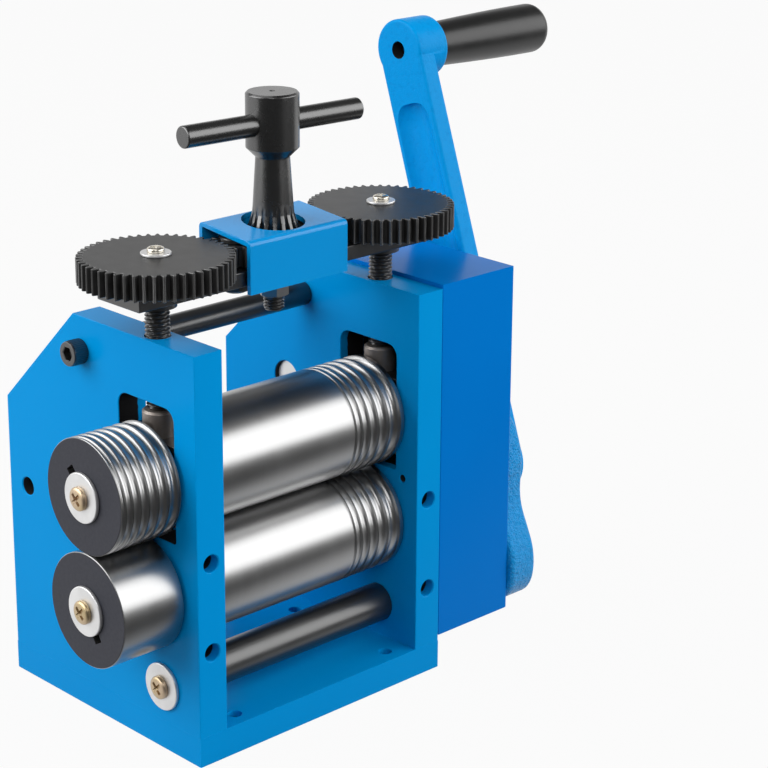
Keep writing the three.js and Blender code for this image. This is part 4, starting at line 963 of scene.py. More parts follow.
# %% Turn the tie rods and their screws
def tie_rod(name, diameter, spigot, place):
    left_end = -plate_inner + gap
    shoulder = plate_inner - gap
    ends = [(left_end, diameter / 2), (shoulder, diameter / 2), (shoulder, spigot / 2)]
    ends.append((plate_outer - 1, spigot / 2))
    rod = lathe(name, "x", eased(ends, 0.4), place, 96)
    return cut(rod, drill("x", -plate_inner - 1, -plate_inner + 12, clear(6), *place))


def ring_piece(name, axis, low, high, diameter, bore, centre, edge=0.3):
    """A washer, bush or flange with rounded rims."""
    loop = [(low, bore / 2), (low, diameter / 2), (high, diameter / 2), (high, bore / 2)]
    return lathe(name, axis, eased(loop, edge, 3, closed=True), centre, hollow=True)


dress(tie_rod("top_rod", 10, 8, upper_tie), "black_steel", "frame", "black_steel", "upper_tie_rod")
dress(tie_rod("bottom_rod", 16, 10, lower_tie), "black_steel", "frame", "black_steel", "lower_tie_rod")
washer_thick = 1.5
left_face = -plate_outer - gap
top_screw = cap_screw("top_rod_screw", "x", left_face, -1, upper_tie, 10, 6.6, 6, 25.3, 5, 3)
dress(top_screw, "black_steel", "frame", "black_steel", "upper_tie_screw")
washer_ends = (left_face - washer_thick, left_face)
broad = ring_piece("bottom_rod_washer", "x", *washer_ends, 19, clear(6), lower_tie, 0.5)
dress(broad, "zinc_plate", "frame", "zinc_plate", "lower_tie_washer")
head_seat = left_face - washer_thick - gap
bottom_screw = pan_screw("bottom_rod_screw", "x", head_seat, -1, lower_tie, *pan_head, 6, 26.8)
dress(bottom_screw, "yellow_zinc", "frame", "yellow_zinc", "lower_tie_screw")

# %% [markdown]
# ## Rolls
#
# Each roll is one turned piece: plain for sheet over most of its face, with six half-round grooves for
# wire at the right. The grooves are drawn from their widths, so the profile has the same numbers as the
# drawing. The side rollers outside the left plate are separate rings on the roll's stub, held by a key
# and a screw. The upper one is grooved and the lower one plain.

# %% Draw grooves and turn the rolls
roll_radius = 22.5
roll_face = 49.9
wire_grooves = [1.6, 2.2, 2.9, 3.6, 4.4, 5.2]
wire_land = 1.1
wire_margin = 2.6
rim = 0.8
journal_radius = 10
journal_end = 64.6
gear_seat = 8.5
stub_radius = 7.7
stub_end = -92.4
roller_inner = 64.9
roller_length = 28
roller_land = 0.9
key_half = 1.8
roller_bore = stub_radius + gap


def grooves(start, widths, land, radius, steps=12):
    """Half-round grooves side by side, with a land between each two."""
    points = []
    station = start
    for width in widths:
        for step in range(steps + 1):
            a = math.pi * step / steps
            points.append((station + width / 2 * (1 - math.cos(a)), radius - width / 2 * math.sin(a)))
        station += width + land
    return points


def turned_key(name, shape, low, high, edge, height, angle):
    """A bar along X beside a roll's axis, turned to its angle about that axis."""
    bar = slab(name, "x", shape, [], low, high, edge)
    bar.data.transform(shift(0, line_y, height) @ spin(angle, "X"))
    return bar


def main_roll(name, height, seat_end, key_angle):
    """A roll between the plates with its journals, stub and key. Its gear's seat ends at seat_end."""
    run = sum(wire_grooves) + wire_land * (len(wire_grooves) - 1)
    body = [(stub_end, stub_radius - 0.4), (stub_end + 0.4, stub_radius), (-journal_end, stub_radius)]
    body += [(-journal_end, journal_radius), (-roll_face, journal_radius)]
    body += [(-roll_face, roll_radius - rim), (-roll_face + rim, roll_radius)]
    body += grooves(roll_face - wire_margin - run, wire_grooves, wire_land, roll_radius)
    body += [(roll_face - rim, roll_radius), (roll_face, roll_radius - rim)]
    body += [(roll_face, journal_radius), (journal_end, journal_radius)]
    body += [(journal_end, gear_seat), (seat_end, gear_seat)]
    roll = lathe(name, "x", body, (line_y, height), 160)
    key = rounded_box(3, 9.6, -key_half, key_half, 0.3, 0.3, 3)
    join(roll, turned_key("key", key, stub_end, -roller_inner, 0.2, height, key_angle))
    return cut(roll, drill("x", stub_end - 1, stub_end + 14, clear(5), line_y, height))


roll_rows = [
    ("upper", "roll_above", upper_axis, 79.3, 50, [4.2, 3.8, 3.4, 3, 2.6, 2.3, 2]),
    ("lower", "roll_below", lower_axis, 89.3, -119, []),
]
for word, name, height, seat_end, key_angle, _ in roll_rows:
    roll = main_roll(name, height, seat_end, key_angle)
    dress(roll, "polished_steel", f"{word}_roll_body", "polished_steel", f"{word}_roll")

# %% Turn the side rollers
def side_roller(name, height, widths, key_angle):
    """A ring with a groove for each width, or plain, and a keyway."""
    run = sum(widths) + roller_land * max(0, len(widths) - 1)
    start = (roller_length - run) / 2
    worn = 0.4
    loop = [(0, roller_bore), (0, roll_radius - worn), (worn, roll_radius)]
    loop += grooves(start, widths, roller_land, roll_radius)
    loop += [(roller_length - worn, roll_radius), (roller_length, roll_radius - worn)]
    loop.append((roller_length, roller_bore))
    profile = [(-roller_inner - along, r) for along, r in loop]
    roller = lathe(name, "x", profile, (line_y, height), 160, hollow=True)
    way = rounded_box(5, 12.8, -key_half - 0.3, key_half + 0.3, 0.2, 0.2, 2)
    ends = (-side_roller_end - 1, -roller_inner + 1)
    return cut(roller, turned_key("keyway", way, *ends, 0.1, height, key_angle))


for word, _, height, _, key_angle, widths in roll_rows:
    body = f"{word}_roll_body"
    spot = (line_y, height)
    roller = side_roller(f"{word}_roller", height, widths, key_angle)
    dress(roller, "roller_steel", body, "polished_steel", f"{word}_side_roller")
    outside = -side_roller_end - gap
    outer_face = outside - washer_thick
    washer = ring_piece(f"{word}_roller_washer", "x", outer_face, outside, 19.5, clear(5), spot, 0.5)
    dress(washer, "zinc_plate", body, "zinc_plate", f"{word}_side_washer")
    screw = pan_screw(f"{word}_roller_screw", "x", outer_face - gap, -1, spot, *pan_head, 5, 14.5)
    dress(screw, "yellow_zinc", body, "yellow_zinc", f"{word}_side_screw")

# %% [markdown]
# ## Bearings
#
# The lower roll runs in bronze bushes. The upper one runs in two steel blocks that slide in the windows,
# pushed up by a spring under each and down by a worn steel button under each pressure screw.

# %% Make the bushes, blocks and buttons
both_sides = ((-1, "left"), (1, "right"))
journal_bore = 20.6
block_half_depth = 16.2
block_half_height = 16
button_foot = upper_axis + 13
button_top = upper_axis + 26.1


def bearing_block(name, side):
    """A block with its journal bore and the seats of its button and its spring."""
    across = (line_y - block_half_depth, line_y + block_half_depth)
    outline = rectangle(*across, upper_axis - block_half_height, upper_axis + block_half_height)
    low, high = sorted((side * (plate_inner + 0.5), side * (plate_outer - 0.5)))
    block = slab(name, "x", outline, [circle(line_y, upper_axis, journal_bore / 2, 64)], low, high, 0.5)
    middle = side * plate_middle
    button_seat = drill("z", button_foot, upper_axis + 17, clear(13), middle, line_y)
    spring_seat = drill("z", upper_axis - 17, upper_axis - 13.5, spring_bore, middle, line_y)
    return cut(block, button_seat, spring_seat)


for side, word in both_sides:
    middle = side * plate_middle
    ends = (middle - 6.65, middle + 6.65)
    bush = ring_piece(f"{word}_bush", "x", *ends, 26.6, journal_bore, (line_y, lower_axis), 0.5)
    dress(bush, "bronze", "frame", "bronze", f"{word}_roll_bush")
    block = bearing_block(f"{word}_block", side)
    dress(block, "black_steel", "carriage", "plain_steel", f"{word}_bearing_block")
    profile = [(button_foot + gap, 6.5), (button_top - 0.8, 6.5), (button_top, 5.7), (button_top, 1)]
    button = lathe(f"{word}_button", "z", eased(profile, 0.4), (middle, line_y), 64)
    dress(button, "worn_steel", "carriage", "polished_steel", f"{word}_thrust_button")

# %% [markdown]
# The springs are coils of 1.2 mm wire. A Curve Spiral gives the helix and Curve to Mesh sweeps a circle
# along it, so the number of curls stays a number that a reader can change.

# %% Wind the lift springs
coil_sizes = dict.fromkeys(("Radius", "Height", "Curls", "Wire"), "Float")
coil, given = new_tree("coil", {**coil_sizes, "Finish": "Material"})
helix_inputs = {
    "Resolution": 24,
    "Rotations": given.side("Curls"),
    "Start Radius": given.side("Radius"),
    "End Radius": given.side("Radius"),
    "Height": given.side("Height"),
}
helix = coil.node("GeometryNodeCurveSpiral", {}, helix_inputs)
circle_inputs = {"Resolution": 10, "Radius": given.side("Wire") * 0.5}
wire_circle = coil.node("GeometryNodeCurvePrimitiveCircle", {}, circle_inputs)
sweep_inputs = {"Curve": helix, "Profile Curve": wire_circle, "Fill Caps": True}
swept = coil.node("GeometryNodeCurveToMesh", {}, sweep_inputs)
coil.node("NodeGroupOutput", {}, {"Geometry": end_tree(coil, swept, given.side("Finish"))})

spring_low = 81.7
spring_high = 96.1
spring_radius = 3.4
spring_curls = 4.0
wire = 1.2
for side, word in both_sides:
    spring = new_piece(f"{word}_spring", [(0, 0, 0)], [])
    sizes = {"Radius": spring_radius, "Height": spring_high - spring_low - wire, "Wire": wire}
    values = {label: size * MM for label, size in sizes.items()}
    run_tree(spring, coil, {**values, "Curls": spring_curls, "Finish": finishes["plain_steel"]})
    spring.data.transform(shift(side * plate_middle, line_y, spring_low + wire / 2))
    dress(spring, None, "frame", "plain_steel", f"{word}_lift_spring")

# %% [markdown]
# ## Gears
#
# A gear is one tooth, repeated. The script draws one tooth from mid-gap to mid-gap with involute flanks,
# gives it its thickness and a small chamfer, and marks the chamfer's faces. A Geometry Nodes tree then
# turns copies of it round the axis, merges them and paints the marked faces with a brighter finish, a
# painted highlight on the tooth edges. The 17, 17 and 50 teeth between the T-handle and each pressure
# screw fill the distance from the middle to the plate, which gives their module.

# %% Draw one tooth
def tooth(teeth, module, backlash, addendum=None, dedendum=None):
    """Points of one tooth centred on the angle 0, from one mid-gap to just before the next."""
    pitch = teeth * module / 2
    pressure = math.radians(20)
    base = pitch * math.cos(pressure)
    tip = pitch + (addendum or module)
    root = pitch - (dedendum or 1.25 * module)
    widest = math.pi / (2 * teeth) - backlash / (4 * pitch) + math.tan(pressure) - pressure

    def half_width(radius):
        if radius <= base:
            return widest - 0.35 * (base - radius) / pitch
        angle = math.acos(base / radius)
        return widest - (math.tan(angle) - angle)

    worn = 0.26
    radii = [root + (tip - worn - root) * share for share in (0, 0.12, 0.35, 0.6, 0.82, 1)]
    rising = [(radius, -half_width(radius)) for radius in radii] + [(tip, worn / tip - half_width(tip))]
    falling = [(radius, -angle) for radius, angle in reversed(rising)]
    flank = [(root, -math.pi / teeth)] + rising + [(tip, 0)] + falling
    return [(r * math.cos(a), r * math.sin(a)) for r, a in flank]


def tooth_block(name, teeth, outline, bore, low, high):
    """One sector of a gear from its bore to its tooth, open at both sides, with its edge faces marked for
    a painted highlight.
    """
    chamfer = 0.25
    step = 2 * math.pi / teeth
    tip = max(math.hypot(*p) for p in outline)

    def turned(point, angle):
        u, v = point
        return (u * math.cos(angle) - v * math.sin(angle), u * math.sin(angle) + v * math.cos(angle))

    ring = [turned(p, -step) for p in outline] + outline + [turned(p, step) for p in outline]
    shrunk = inset(ring, chamfer)[len(outline):2 * len(outline) + 1]
    full = outline + [turned(outline[0], step)]
    hub = [turned((bore, 0), step * (i / 2 - 0.5)) for i in range(3)]
    levels = [(shrunk, low), (full, low + chamfer), (full, high - chamfer), (shrunk, high)]
    points = [(u, v, s) for loop, s in levels for u, v in loop]
    points += [(u, v, s) for s in (low, high) for u, v in hub]
    count = len(full)
    faces = []
    marks = []
    for level in range(3):
        for j in range(count - 1):
            a = level * count + j
            faces.append((a, a + 1, a + 1 + count, a + count))
            ends = [math.hypot(*full[j]), math.hypot(*full[j + 1])]
            marks.append(level != 1 or (min(ends) > tip - 0.3 and max(ends) - min(ends) > 0.1))
    hubs = [4 * count, 4 * count + 3]
    for start, hub_start in ((0, hubs[0]), (3 * count, hubs[1])):
        faces.append(tuple(range(start, start + count)) + tuple(hub_start + i for i in (2, 1, 0)))
        marks.append(False)
    for i in range(2):
        faces.append((hubs[0] + i, hubs[0] + i + 1, hubs[1] + i + 1, hubs[1] + i))
        marks.append(False)
    piece = raw_piece(name, points, faces)
    edge = piece.data.attributes.new("edge", "BOOLEAN", "FACE")
    edge.data.foreach_set("value", marks)
    return piece


print("one tooth has", len(tooth(50, 1.13, 0.2)), "points")

# %% Turn copies of the tooth round the axis
wheel_finishes = dict.fromkeys(("Finish", "Highlight Finish"), "Material")
wheel, given = new_tree("wheel", {"Teeth": "Int", "Phase": "Float", **wheel_finishes})
line = wheel.node("GeometryNodeMeshLine", {}, {"Count": given.side("Teeth"), "Offset": (0.0, 0.0, 0.0)})
index = wheel.node("GeometryNodeInputIndex")
angle = index * (2 * math.pi) / given.side("Teeth") + given.side("Phase")
around = wheel.node("ShaderNodeCombineXYZ", {}, {"Z": angle})
ring_inputs = {"Points": line, "Instance": given.side("Geometry"), "Rotation": around}
ring_of_teeth = wheel.node("GeometryNodeInstanceOnPoints", {}, ring_inputs)
coated = end_tree(wheel, ring_of_teeth, given.side("Finish"))
welded = wheel.node("GeometryNodeMergeByDistance", {}, {"Geometry": coated, "Distance": 1e-6})
# The marked edge faces get the brighter finish: a painted highlight.
marked = wheel.node("GeometryNodeInputNamedAttribute", {"data_type": "BOOLEAN"}, {"Name": "edge"})
edge_inputs = {"Geometry": welded, "Selection": marked, "Material": given.side("Highlight Finish")}
wheel.node("NodeGroupOutput", {}, {"Geometry": wheel.node("GeometryNodeSetMaterial", {}, edge_inputs)})

from_z_to_x = Matrix(((0, 0, 1, 0), (1, 0, 0, 0), (0, 1, 0, 0), (0, 0, 0, 1)))


def gear(name, teeth, outline, bore, low, high, phase, axis, centre):
    """A whole gear on an axis, with one tooth centred on the angle phase. The bore is its radius."""
    piece = tooth_block(name, teeth, outline, bore, low, high)
    values = {"Teeth": teeth, "Phase": phase}
    values.update({"Finish": finishes["gear_black"], "Highlight Finish": finishes["gear_edge_highlight"]})
    run_tree(piece, wheel, values)
    if axis == "x":
        piece.data.transform(shift(0, *centre) @ from_z_to_x)
    else:
        piece.data.transform(shift(*centre, 0))
    face_outwards(piece.data)
    return piece


print("a tree turns copies of a tooth")

# %% Cut the top gears
pinion_teeth = 17
screw_teeth = 50
top_module = 2 * plate_middle / (3 * pinion_teeth + screw_teeth)
top_backlash = 0.22
gear_low = 185.4
gear_high = 195.4
idler_high = 193.4
idler_x = top_module * pinion_teeth
screw_tooth = tooth(screw_teeth, top_module, top_backlash)
idler_tooth = tooth(pinion_teeth, top_module, top_backlash)
for side, word in both_sides:
    phase = math.pi / screw_teeth if word == "right" else 0.0
    span = (gear_low, gear_high)
    centre = (side * plate_middle, line_y)
    big = gear(f"{word}_wheel", screw_teeth, screw_tooth, 4.6, *span, phase, "z", centre)
    dress(big, None, f"{word}_screw", "black_steel", f"{word}_screw_gear")
    span = (gear_low, idler_high)
    centre = (side * idler_x, line_y)
    small = gear(f"{word}_idler", pinion_teeth, idler_tooth, 4.3, *span, 0.0, "z", centre)
    dress(small, None, f"{word}_idler", "black_steel", f"{word}_idler_gear")

# %% [markdown]
# Inside the housing the rolls' gears have long teeth, so that they stay in mesh while the rolls open. The
# lower one is a double gear: its larger half is driven from the shaft below the crank.

# %% Cut the gears inside the housing
lower_line = (line_y, lower_axis)
upper_line = (line_y, upper_axis)
seat_radius = gear_seat + gap
long_teeth = 18
long_tooth = tooth(long_teeth, 2.5, 0.45, 2.9, 3.3)
long_span = (65.6, 79.6)
crank_module = 1.5
crank_backlash = 0.3
lean = math.radians(16.5)
lay_angle = math.radians(-90) - lean

long_wheel = (long_teeth, long_tooth, seat_radius, *long_span)
lower_wheel = gear("lower_wheel", *long_wheel, math.pi / 2, "x", lower_line)
final_tooth = tooth(27, crank_module, crank_backlash)
final = gear("final_wheel", 27, final_tooth, seat_radius, 80.6, 89.6, lay_angle, "x", lower_line)
between = ring_piece("between", "x", 79.5, 80.7, 27.2, 2 * seat_radius, lower_line, 0.1)
join(lower_wheel, between, final)
dress(lower_wheel, None, "lower_roll_body", "black_steel", "lower_roll_gear")
half_step = math.pi / long_teeth
upper_wheel = gear("upper_wheel", *long_wheel, half_step - math.pi / 2, "x", upper_line)
dress(upper_wheel, None, "upper_roll_body", "black_steel", "upper_roll_gear")

# %% [markdown]
# ## Gear housing and bracket
#
# The housing is a box folded from sheet and closed by the right plate. It follows the plate's outline, a
# little higher. On its outer face sits a cast bracket that carries the crank's shaft and the shaft below
# it.

# %% Fold the housing
housing_inner = 63.66
housing_outer = 105.0
housing_bottom = 14.3
housing_rise = 1.6
sheet = 2


def hollow_box(name, outline, wall, low, high, floor, edge, rounds=4):
    """A tray open at the low end, with a rounded rim round its far face."""
    loop = outline if area(outline) > 0 else outline[::-1]
    angles = [math.pi / 2 * i / rounds for i in range(rounds + 1)]
    rim = [(edge * (1 - math.sin(a)), high - edge * (1 - math.cos(a))) for a in reversed(angles)]
    levels = [(wall, floor), (wall, low), (0.2, low), (0, low + 0.2)] + rim
    loops = [[lay("x", u, v, station) for u, v in inset(loop, shrink)] for shrink, station in levels]
    return skin(name, loops)


housing_floor = 102
box_outline = side_outline(housing_bottom, housing_rise)
box = hollow_box("housing_box", box_outline, sheet, housing_inner, housing_outer, housing_floor, 0.9)

shaft_distance = 30
lay_y = line_y - shaft_distance * math.sin(lean)
lay_z = lower_axis - shaft_distance * math.cos(lean)
mid_y = (line_y + lay_y) / 2
mid_z = (lower_axis + lay_z) / 2
bolt_y = 14 * math.cos(lean)
bolt_z = 14 * math.sin(lean)
bracket_screws = [(mid_y + side * bolt_y, mid_z - side * bolt_z) for side in (-1, 1)]
bores = [(*stay_place, clear(6)), (*lower_line, 17.2), (lay_y, lay_z, 13.2)]
bores += [(y, z, clear(5)) for y, z in bracket_screws]
cut(box, *[drill("x", housing_floor - 1, housing_outer + 1, width, y, z) for y, z, width in bores])
dress(box, "housing_paint", "frame", "blue_paint", "gear_housing")

stay_low = 52.3
stay_high = housing_floor - gap
stay_profile = eased([(stay_low, 1), (stay_low, 7.2), (stay_high, 7.2), (stay_high, 1)], 0.5)
stay = lathe("stay", "x", stay_profile, stay_place, 64)
dress(stay, "zinc_plate", "frame", "zinc_plate", "housing_stay")
stay_screw = cap_screw("stay_screw", "x", housing_outer + gap, 1, stay_place, 10, 6, 6, 13, 5, 3)
dress(stay_screw, "black_steel", "frame", "black_steel", "housing_stay_screw")

# %% [markdown]
# The bracket is a casting, so its outline is drawn as a loop of points that is then softened into a
# curve. Each point is its place from front to back and its height. The two screws sit in sunk seats on
# both sides of the waist.

# %% Cast the bracket
bracket_low = 105.06
bracket_high = 119.96
bracket_through = (bracket_low - 1, bracket_high + 1)


def softened(loop, rounds=3):
    """The loop with its corners cut off again and again, which makes a smooth curve."""
    for _ in range(rounds):
        pairs = list(zip(loop, loop[1:] + loop[:1]))
        near = [(0.75 * a[0] + 0.25 * b[0], 0.75 * a[1] + 0.25 * b[1]) for a, b in pairs]
        far = [(0.25 * a[0] + 0.75 * b[0], 0.25 * a[1] + 0.75 * b[1]) for a, b in pairs]
        loop = [point for pair in zip(near, far) for point in pair]
    return loop


bracket_front = [
    (-48.5, 13.8), (-57.2, 16.8), (-61.4, 23), (-62.5, 31), (-61.5, 39), (-58.0, 47), (-54.6, 54),
    (-53.1, 61), (-53.4, 68), (-53.8, 74), (-53.0, 81), (-50.8, 88), (-46.4, 94.5),
]
bracket_back = [
    (-37, 98), (-25.5, 96), (-16, 88.5), (-10.3, 78), (-8.4, 66), (-11.3, 54), (-15.8, 44),
    (-17.6, 34), (-20.3, 24), (-27.5, 16.3), (-38, 13.6),
]
outline = softened(bracket_front + bracket_back)
bracket = slab("bracket", "x", outline, [], bracket_low, bracket_high, 2.2, 6)
tools = [drill("x", *bracket_through, 16.6, *lower_line)]
tools.append(drill("x", bracket_low - 1, bracket_high - 3, 12.6, lay_y, lay_z))
for place in bracket_screws:
    tools.append(drill("x", *bracket_through, clear(5), *place))
    tools.append(drill("x", bracket_high - 5, bracket_high + 1, 7.5, *place))
cut(bracket, *tools)
dress(bracket, "rough_casting", "frame", "blue_casting", "bearing_bracket")
for word, spot in zip(("front", "rear"), bracket_screws):
    seat = bracket_high - 5 + gap
    screw = cap_screw(f"bracket_bolt_{word}", "x", seat, 1, spot, 7.0, 4.5, 5, 12.9, 3.5, 2.2)
    dress(screw, "black_steel", "frame", "black_steel", f"bracket_screw_{word}")

# %% [markdown]
# ## Crank
#
# The arm is a casting with soft edges, a round boss for the grip and a scooped recess in the face that
# looks at the plates. It is drawn upright about the crank's axis and then leant back as a whole. The
# shaft carries a pinion at its inner end, and two flats and a thread at its outer end, where the arm and
# its nut sit.

# %% Cast the arm
arm_low = 120.46
arm_high = 129.66
boss_high = 137.86
hub_radius = 16.3
hub_rise = 4
hub_front = 16.1
hub_back = 10.4
boss_radius = 13.2
boss_side = 12.5
crank_length = 185
crank_lean = -17.6
lean_back = shift(0, *lower_line) @ spin(crank_lean, "X")


def arm_outline():
    """Two arcs and the tapered sides between them, as (y, z). The front side bulges out at the hub."""
    loop = []
    boss_angle = math.asin(boss_side / boss_radius)
    for step in range(41):
        a = -math.pi / 2 + boss_angle + (2 * math.pi - 2 * boss_angle) * step / 40
        loop.append((boss_radius * math.cos(a), crank_length + boss_radius * math.sin(a)))
    front_angle = math.asin(hub_front / hub_radius)
    back_angle = math.asin(hub_back / hub_radius)
    for step in range(41):
        a = math.pi / 2 + front_angle + (2 * math.pi - front_angle - back_angle) * step / 40
        loop.append((hub_radius * math.cos(a), hub_rise + hub_radius * math.sin(a)))
    return loop


def scoop():
    """A long round-ended tool that hollows the arm's inner face."""
    radius = 14.5
    depth = 4
    reach = 10
    middle = 95.5
    half = 66
    steps = 48
    tool_x = arm_low + depth - radius
    loops = []
    for step in range(steps + 1):
        along = -half * math.cos(math.pi * step / steps)
        share = min(1, (half - abs(along)) / reach)
        r = radius - depth + depth * math.sqrt(max(0, 1 - (1 - share) ** 2)) - 0.02
        z = middle + along
        y = -(hub_front - hub_back) / 2 * (1 - z / crank_length)
        loops.append([(tool_x + r * math.cos(a), y + r * math.sin(a), z) for a in turns(48)])
    return skin("scoop", loops)


arm = slab("arm", "x", arm_outline(), [], arm_low, arm_high, 1.5, 4)
boss_profile = [(arm_low, 8), (arm_low, boss_radius), (boss_high, boss_radius), (boss_high, 3)]
join(arm, lathe("boss", "x", eased(boss_profile, 1.4, 4), (0, crank_length), 96))
flat_bore = rounded_box(-6.14, 6.14, -8.06, 8.06, 2.5, 2.5, 4)
flats = slab("flats", "x", flat_bore, [], arm_low - 1, arm_high + 1, 0.1)
blind_end = drill("x", arm_low - 1, boss_high - 10.8, 7.6, 0, crank_length)
grip_hole = drill("x", boss_high - 11, boss_high + 1, clear(8), 0, crank_length)
cut(arm, scoop(), flats, blind_end, grip_hole)
arm.data.transform(lean_back)
dress(arm, "arm_casting", "crank", "blue_casting", "crank_arm")
grip_y = line_y - crank_length * math.sin(math.radians(crank_lean))
grip_z = lower_axis + crank_length * math.cos(math.radians(crank_lean))


def in_grip_hole(p):
    return math.hypot(p.y - grip_y, p.z - grip_z) < 3.9 and p.x > arm_low + 0.2


# The grip's hole in the boss gets painted shade.
coat(arm, "painted_hole_shade", in_grip_hole)

# %% Turn the crank's shaft
journal_start = 100.4
journal_stop = arm_high - 0.3
pilot = [(82.6, 3.6), (83, 4), (journal_start, 4)]
shaft = lathe("shaft", "x", pilot + [(journal_start, 8), (journal_stop, 8), (journal_stop, 4)])
flat_half = 6.08
chip_half = 5
for side in (-1, 1):
    middle = side * (flat_half + chip_half)
    chip = rounded_box(middle - chip_half, middle + chip_half, -9, 9, 0.2, 0.2, 1)
    cut(shaft, slab("flat", "x", chip, [], arm_low, arm_high + 1, 0.1))
shaft_thread = threaded_rod("shaft_thread", arm_high - 1, arm_high + 9, 10, 1.5, 0, 0)
shaft_thread.data.transform(from_z_to_x)
join(shaft, shaft_thread)
shaft.data.transform(lean_back)
first_tooth = tooth(18, crank_module, crank_backlash)
first = gear("crank_pinion", 18, first_tooth, 3, 92.2, 100.6, lay_angle, "x", lower_line)
join(shaft, first)
dress(shaft, "black_steel", "crank", "black_steel", "crank_shaft")

# %% Make the arm's nut
def hex_nut(name, axis, low, high, across, bore, centre):
    """A nut with the round chamfer that its two faces have."""
    flat = across / 2
    bevel = flat / math.cos(math.pi / 6) - flat + 0.3
    shares = [step / 5 for step in range(6)]
    rows = [(low, bore / 2)]
    rows += [(low + bevel * 0.6 * share, flat - 0.3 + bevel * share) for share in shares]
    rows += [(high - (station - low), radius) for station, radius in reversed(rows[1:])]
    rows.append((high, bore / 2))

    def limited(angle, station, radius, row):
        if row in (0, len(rows) - 1):
            return radius
        part = angle % (math.pi / 3) - math.pi / 6
        return min(radius, flat / math.cos(part))

    return polar(name, axis, rows, limited, centre, hollow=True)


nut = hex_nut("arm_nut", "x", arm_high + gap, arm_high + 5.4, 16, clear(10), (0, 0))
nut.data.transform(lean_back)
dress(nut, "zinc_plate", "crank", "zinc_plate", "crank_nut")

# %% Turn the grip and its bolt
grip_length = 68.4
grip_start = boss_high + 0.3
grip_end = grip_start + grip_length
grip_centre = (0, crank_length)
grip_thin = 9.5
grip_swell = 1.5
grip_round = 5
grip_thick = grip_thin + grip_swell
grip_bore = 4.3
head_room = 6.3
head_depth = 6
profile = [(grip_start, grip_bore), (grip_start, grip_thin)]
for step in range(1, 13):
    share = step / 12
    swell = grip_swell * math.sin(share * math.pi / 2)
    profile.append((grip_start + 1 + (grip_length - 6) * share, grip_thin + swell))
for step in range(1, 9):
    a = math.pi / 2 * step / 8
    along = grip_end - grip_round + grip_round * math.sin(a)
    profile.append((along, grip_thick - grip_round + grip_round * math.cos(a)))
profile += [(grip_end - 0.1, head_room), (grip_end - head_depth, head_room)]
profile.append((grip_end - head_depth, grip_bore))
grip = lathe("grip", "x", profile, grip_centre, 96, hollow=True)
grip.data.transform(lean_back)
dress(grip, "black_plastic", "grip", "black_plastic", "crank_grip")
bolt = cap_screw("grip_screw", "x", grip_end - 5.7, 1, grip_centre, 12, 5, 8, 72.8, 5, 3)
bolt.data.transform(lean_back)
dress(bolt, "black_steel", "crank", "black_steel", "grip_bolt")

# %% [markdown]
# ## Screw-down works
#
# The T-handle turns a small pinion. Two idlers beside it pass the turn on to the large gears, and these
# turn the pressure screws. A flat bar carries it all and a folded cover hides the pinion. The whole group
# rises and sinks with the screws.

# %% Set the pressure screws, gear washers and gear screws
bridge_low = 179.1
bridge_high = 185.1
collar_low = bridge_low - 3.3
collar_high = bridge_low - 0.3
for side, word in both_sides:
    body = f"{word}_screw"
    centre = (side * plate_middle, line_y)
    rod_ends = (button_top + 0.3, collar_low + 0.1)
    screw = threaded_rod(f"{word}_down_screw", *rod_ends, 9.6, 1.5, *centre)
    top = [(collar_low, 7.5), (collar_high, 7.5), (collar_high, 4.6), (gear_high - 0.3, 3.3)]
    join(screw, lathe("collar", "z", eased(top, 0.4), centre, 64))
    dress(screw, "black_steel", body, "black_steel", f"{word}_pressure_screw")
    washer_low = gear_high + gap
    washer_high = washer_low + 1
    washer = ring_piece(f"{word}_wheel_washer", "z", washer_low, washer_high, 11.5, clear(4), centre)
    dress(washer, "zinc_plate", body, "zinc_plate", f"{word}_gear_washer")
    cap = pan_screw(f"{word}_wheel_screw", "z", washer_high + gap, 1, centre, 6.6, 1.9, 4, 9)
    dress(cap, "nickel", body, "zinc_plate", f"{word}_gear_screw")

# %% Cut the bridge
bridge_reach = 74.75
bridge_half = 12.3
bridge_across = (line_y - bridge_half, line_y + bridge_half)
bridge_outline = rectangle(-bridge_reach, bridge_reach, *bridge_across)
bridge_holes = [circle(side * plate_middle, line_y, 4.9) for side in (-1, 1)]
bridge_holes += [circle(side * idler_x, line_y, clear(8) / 2) for side in (-1, 1)]
bridge_holes.append(circle(0, line_y, 5.3))
bridge = slab("bridge", "z", bridge_outline, bridge_holes, bridge_low, bridge_high, 0.5)
dress(bridge, "black_steel", "bridge", "black_steel", "bridge_plate")

# %% Fold the cover and set the idlers' pins
cover_half = 24.7
cover_outer = 14.6
cover_low = 177.7
cover_high = 198.2
bend = 2.4
cover_fall = 1.3


def bent(out, top, radius):
    """Three sides of a folded sheet, from foot to foot. Its top falls a little towards the front."""
    near = line_y - out - 0.7
    far = line_y + out
    path = [(near, cover_low - cover_fall), (near, top - cover_fall)]
    path += [(far, top + cover_fall), (far, cover_low)]
    return eased(path, radius, 8)


folded = bent(cover_outer, cover_high, bend)
folded += bent(cover_outer - sheet, cover_high - sheet, bend - sheet)[::-1]
cover = slab("cover", "x", folded, [], -cover_half, cover_half, 0.22)
cut(cover, drill("z", cover_high - 5, cover_high + 3, 24.6, 0, line_y, 96))
dress(cover, "cover_paint", "bridge", "blue_paint", "gear_cover")

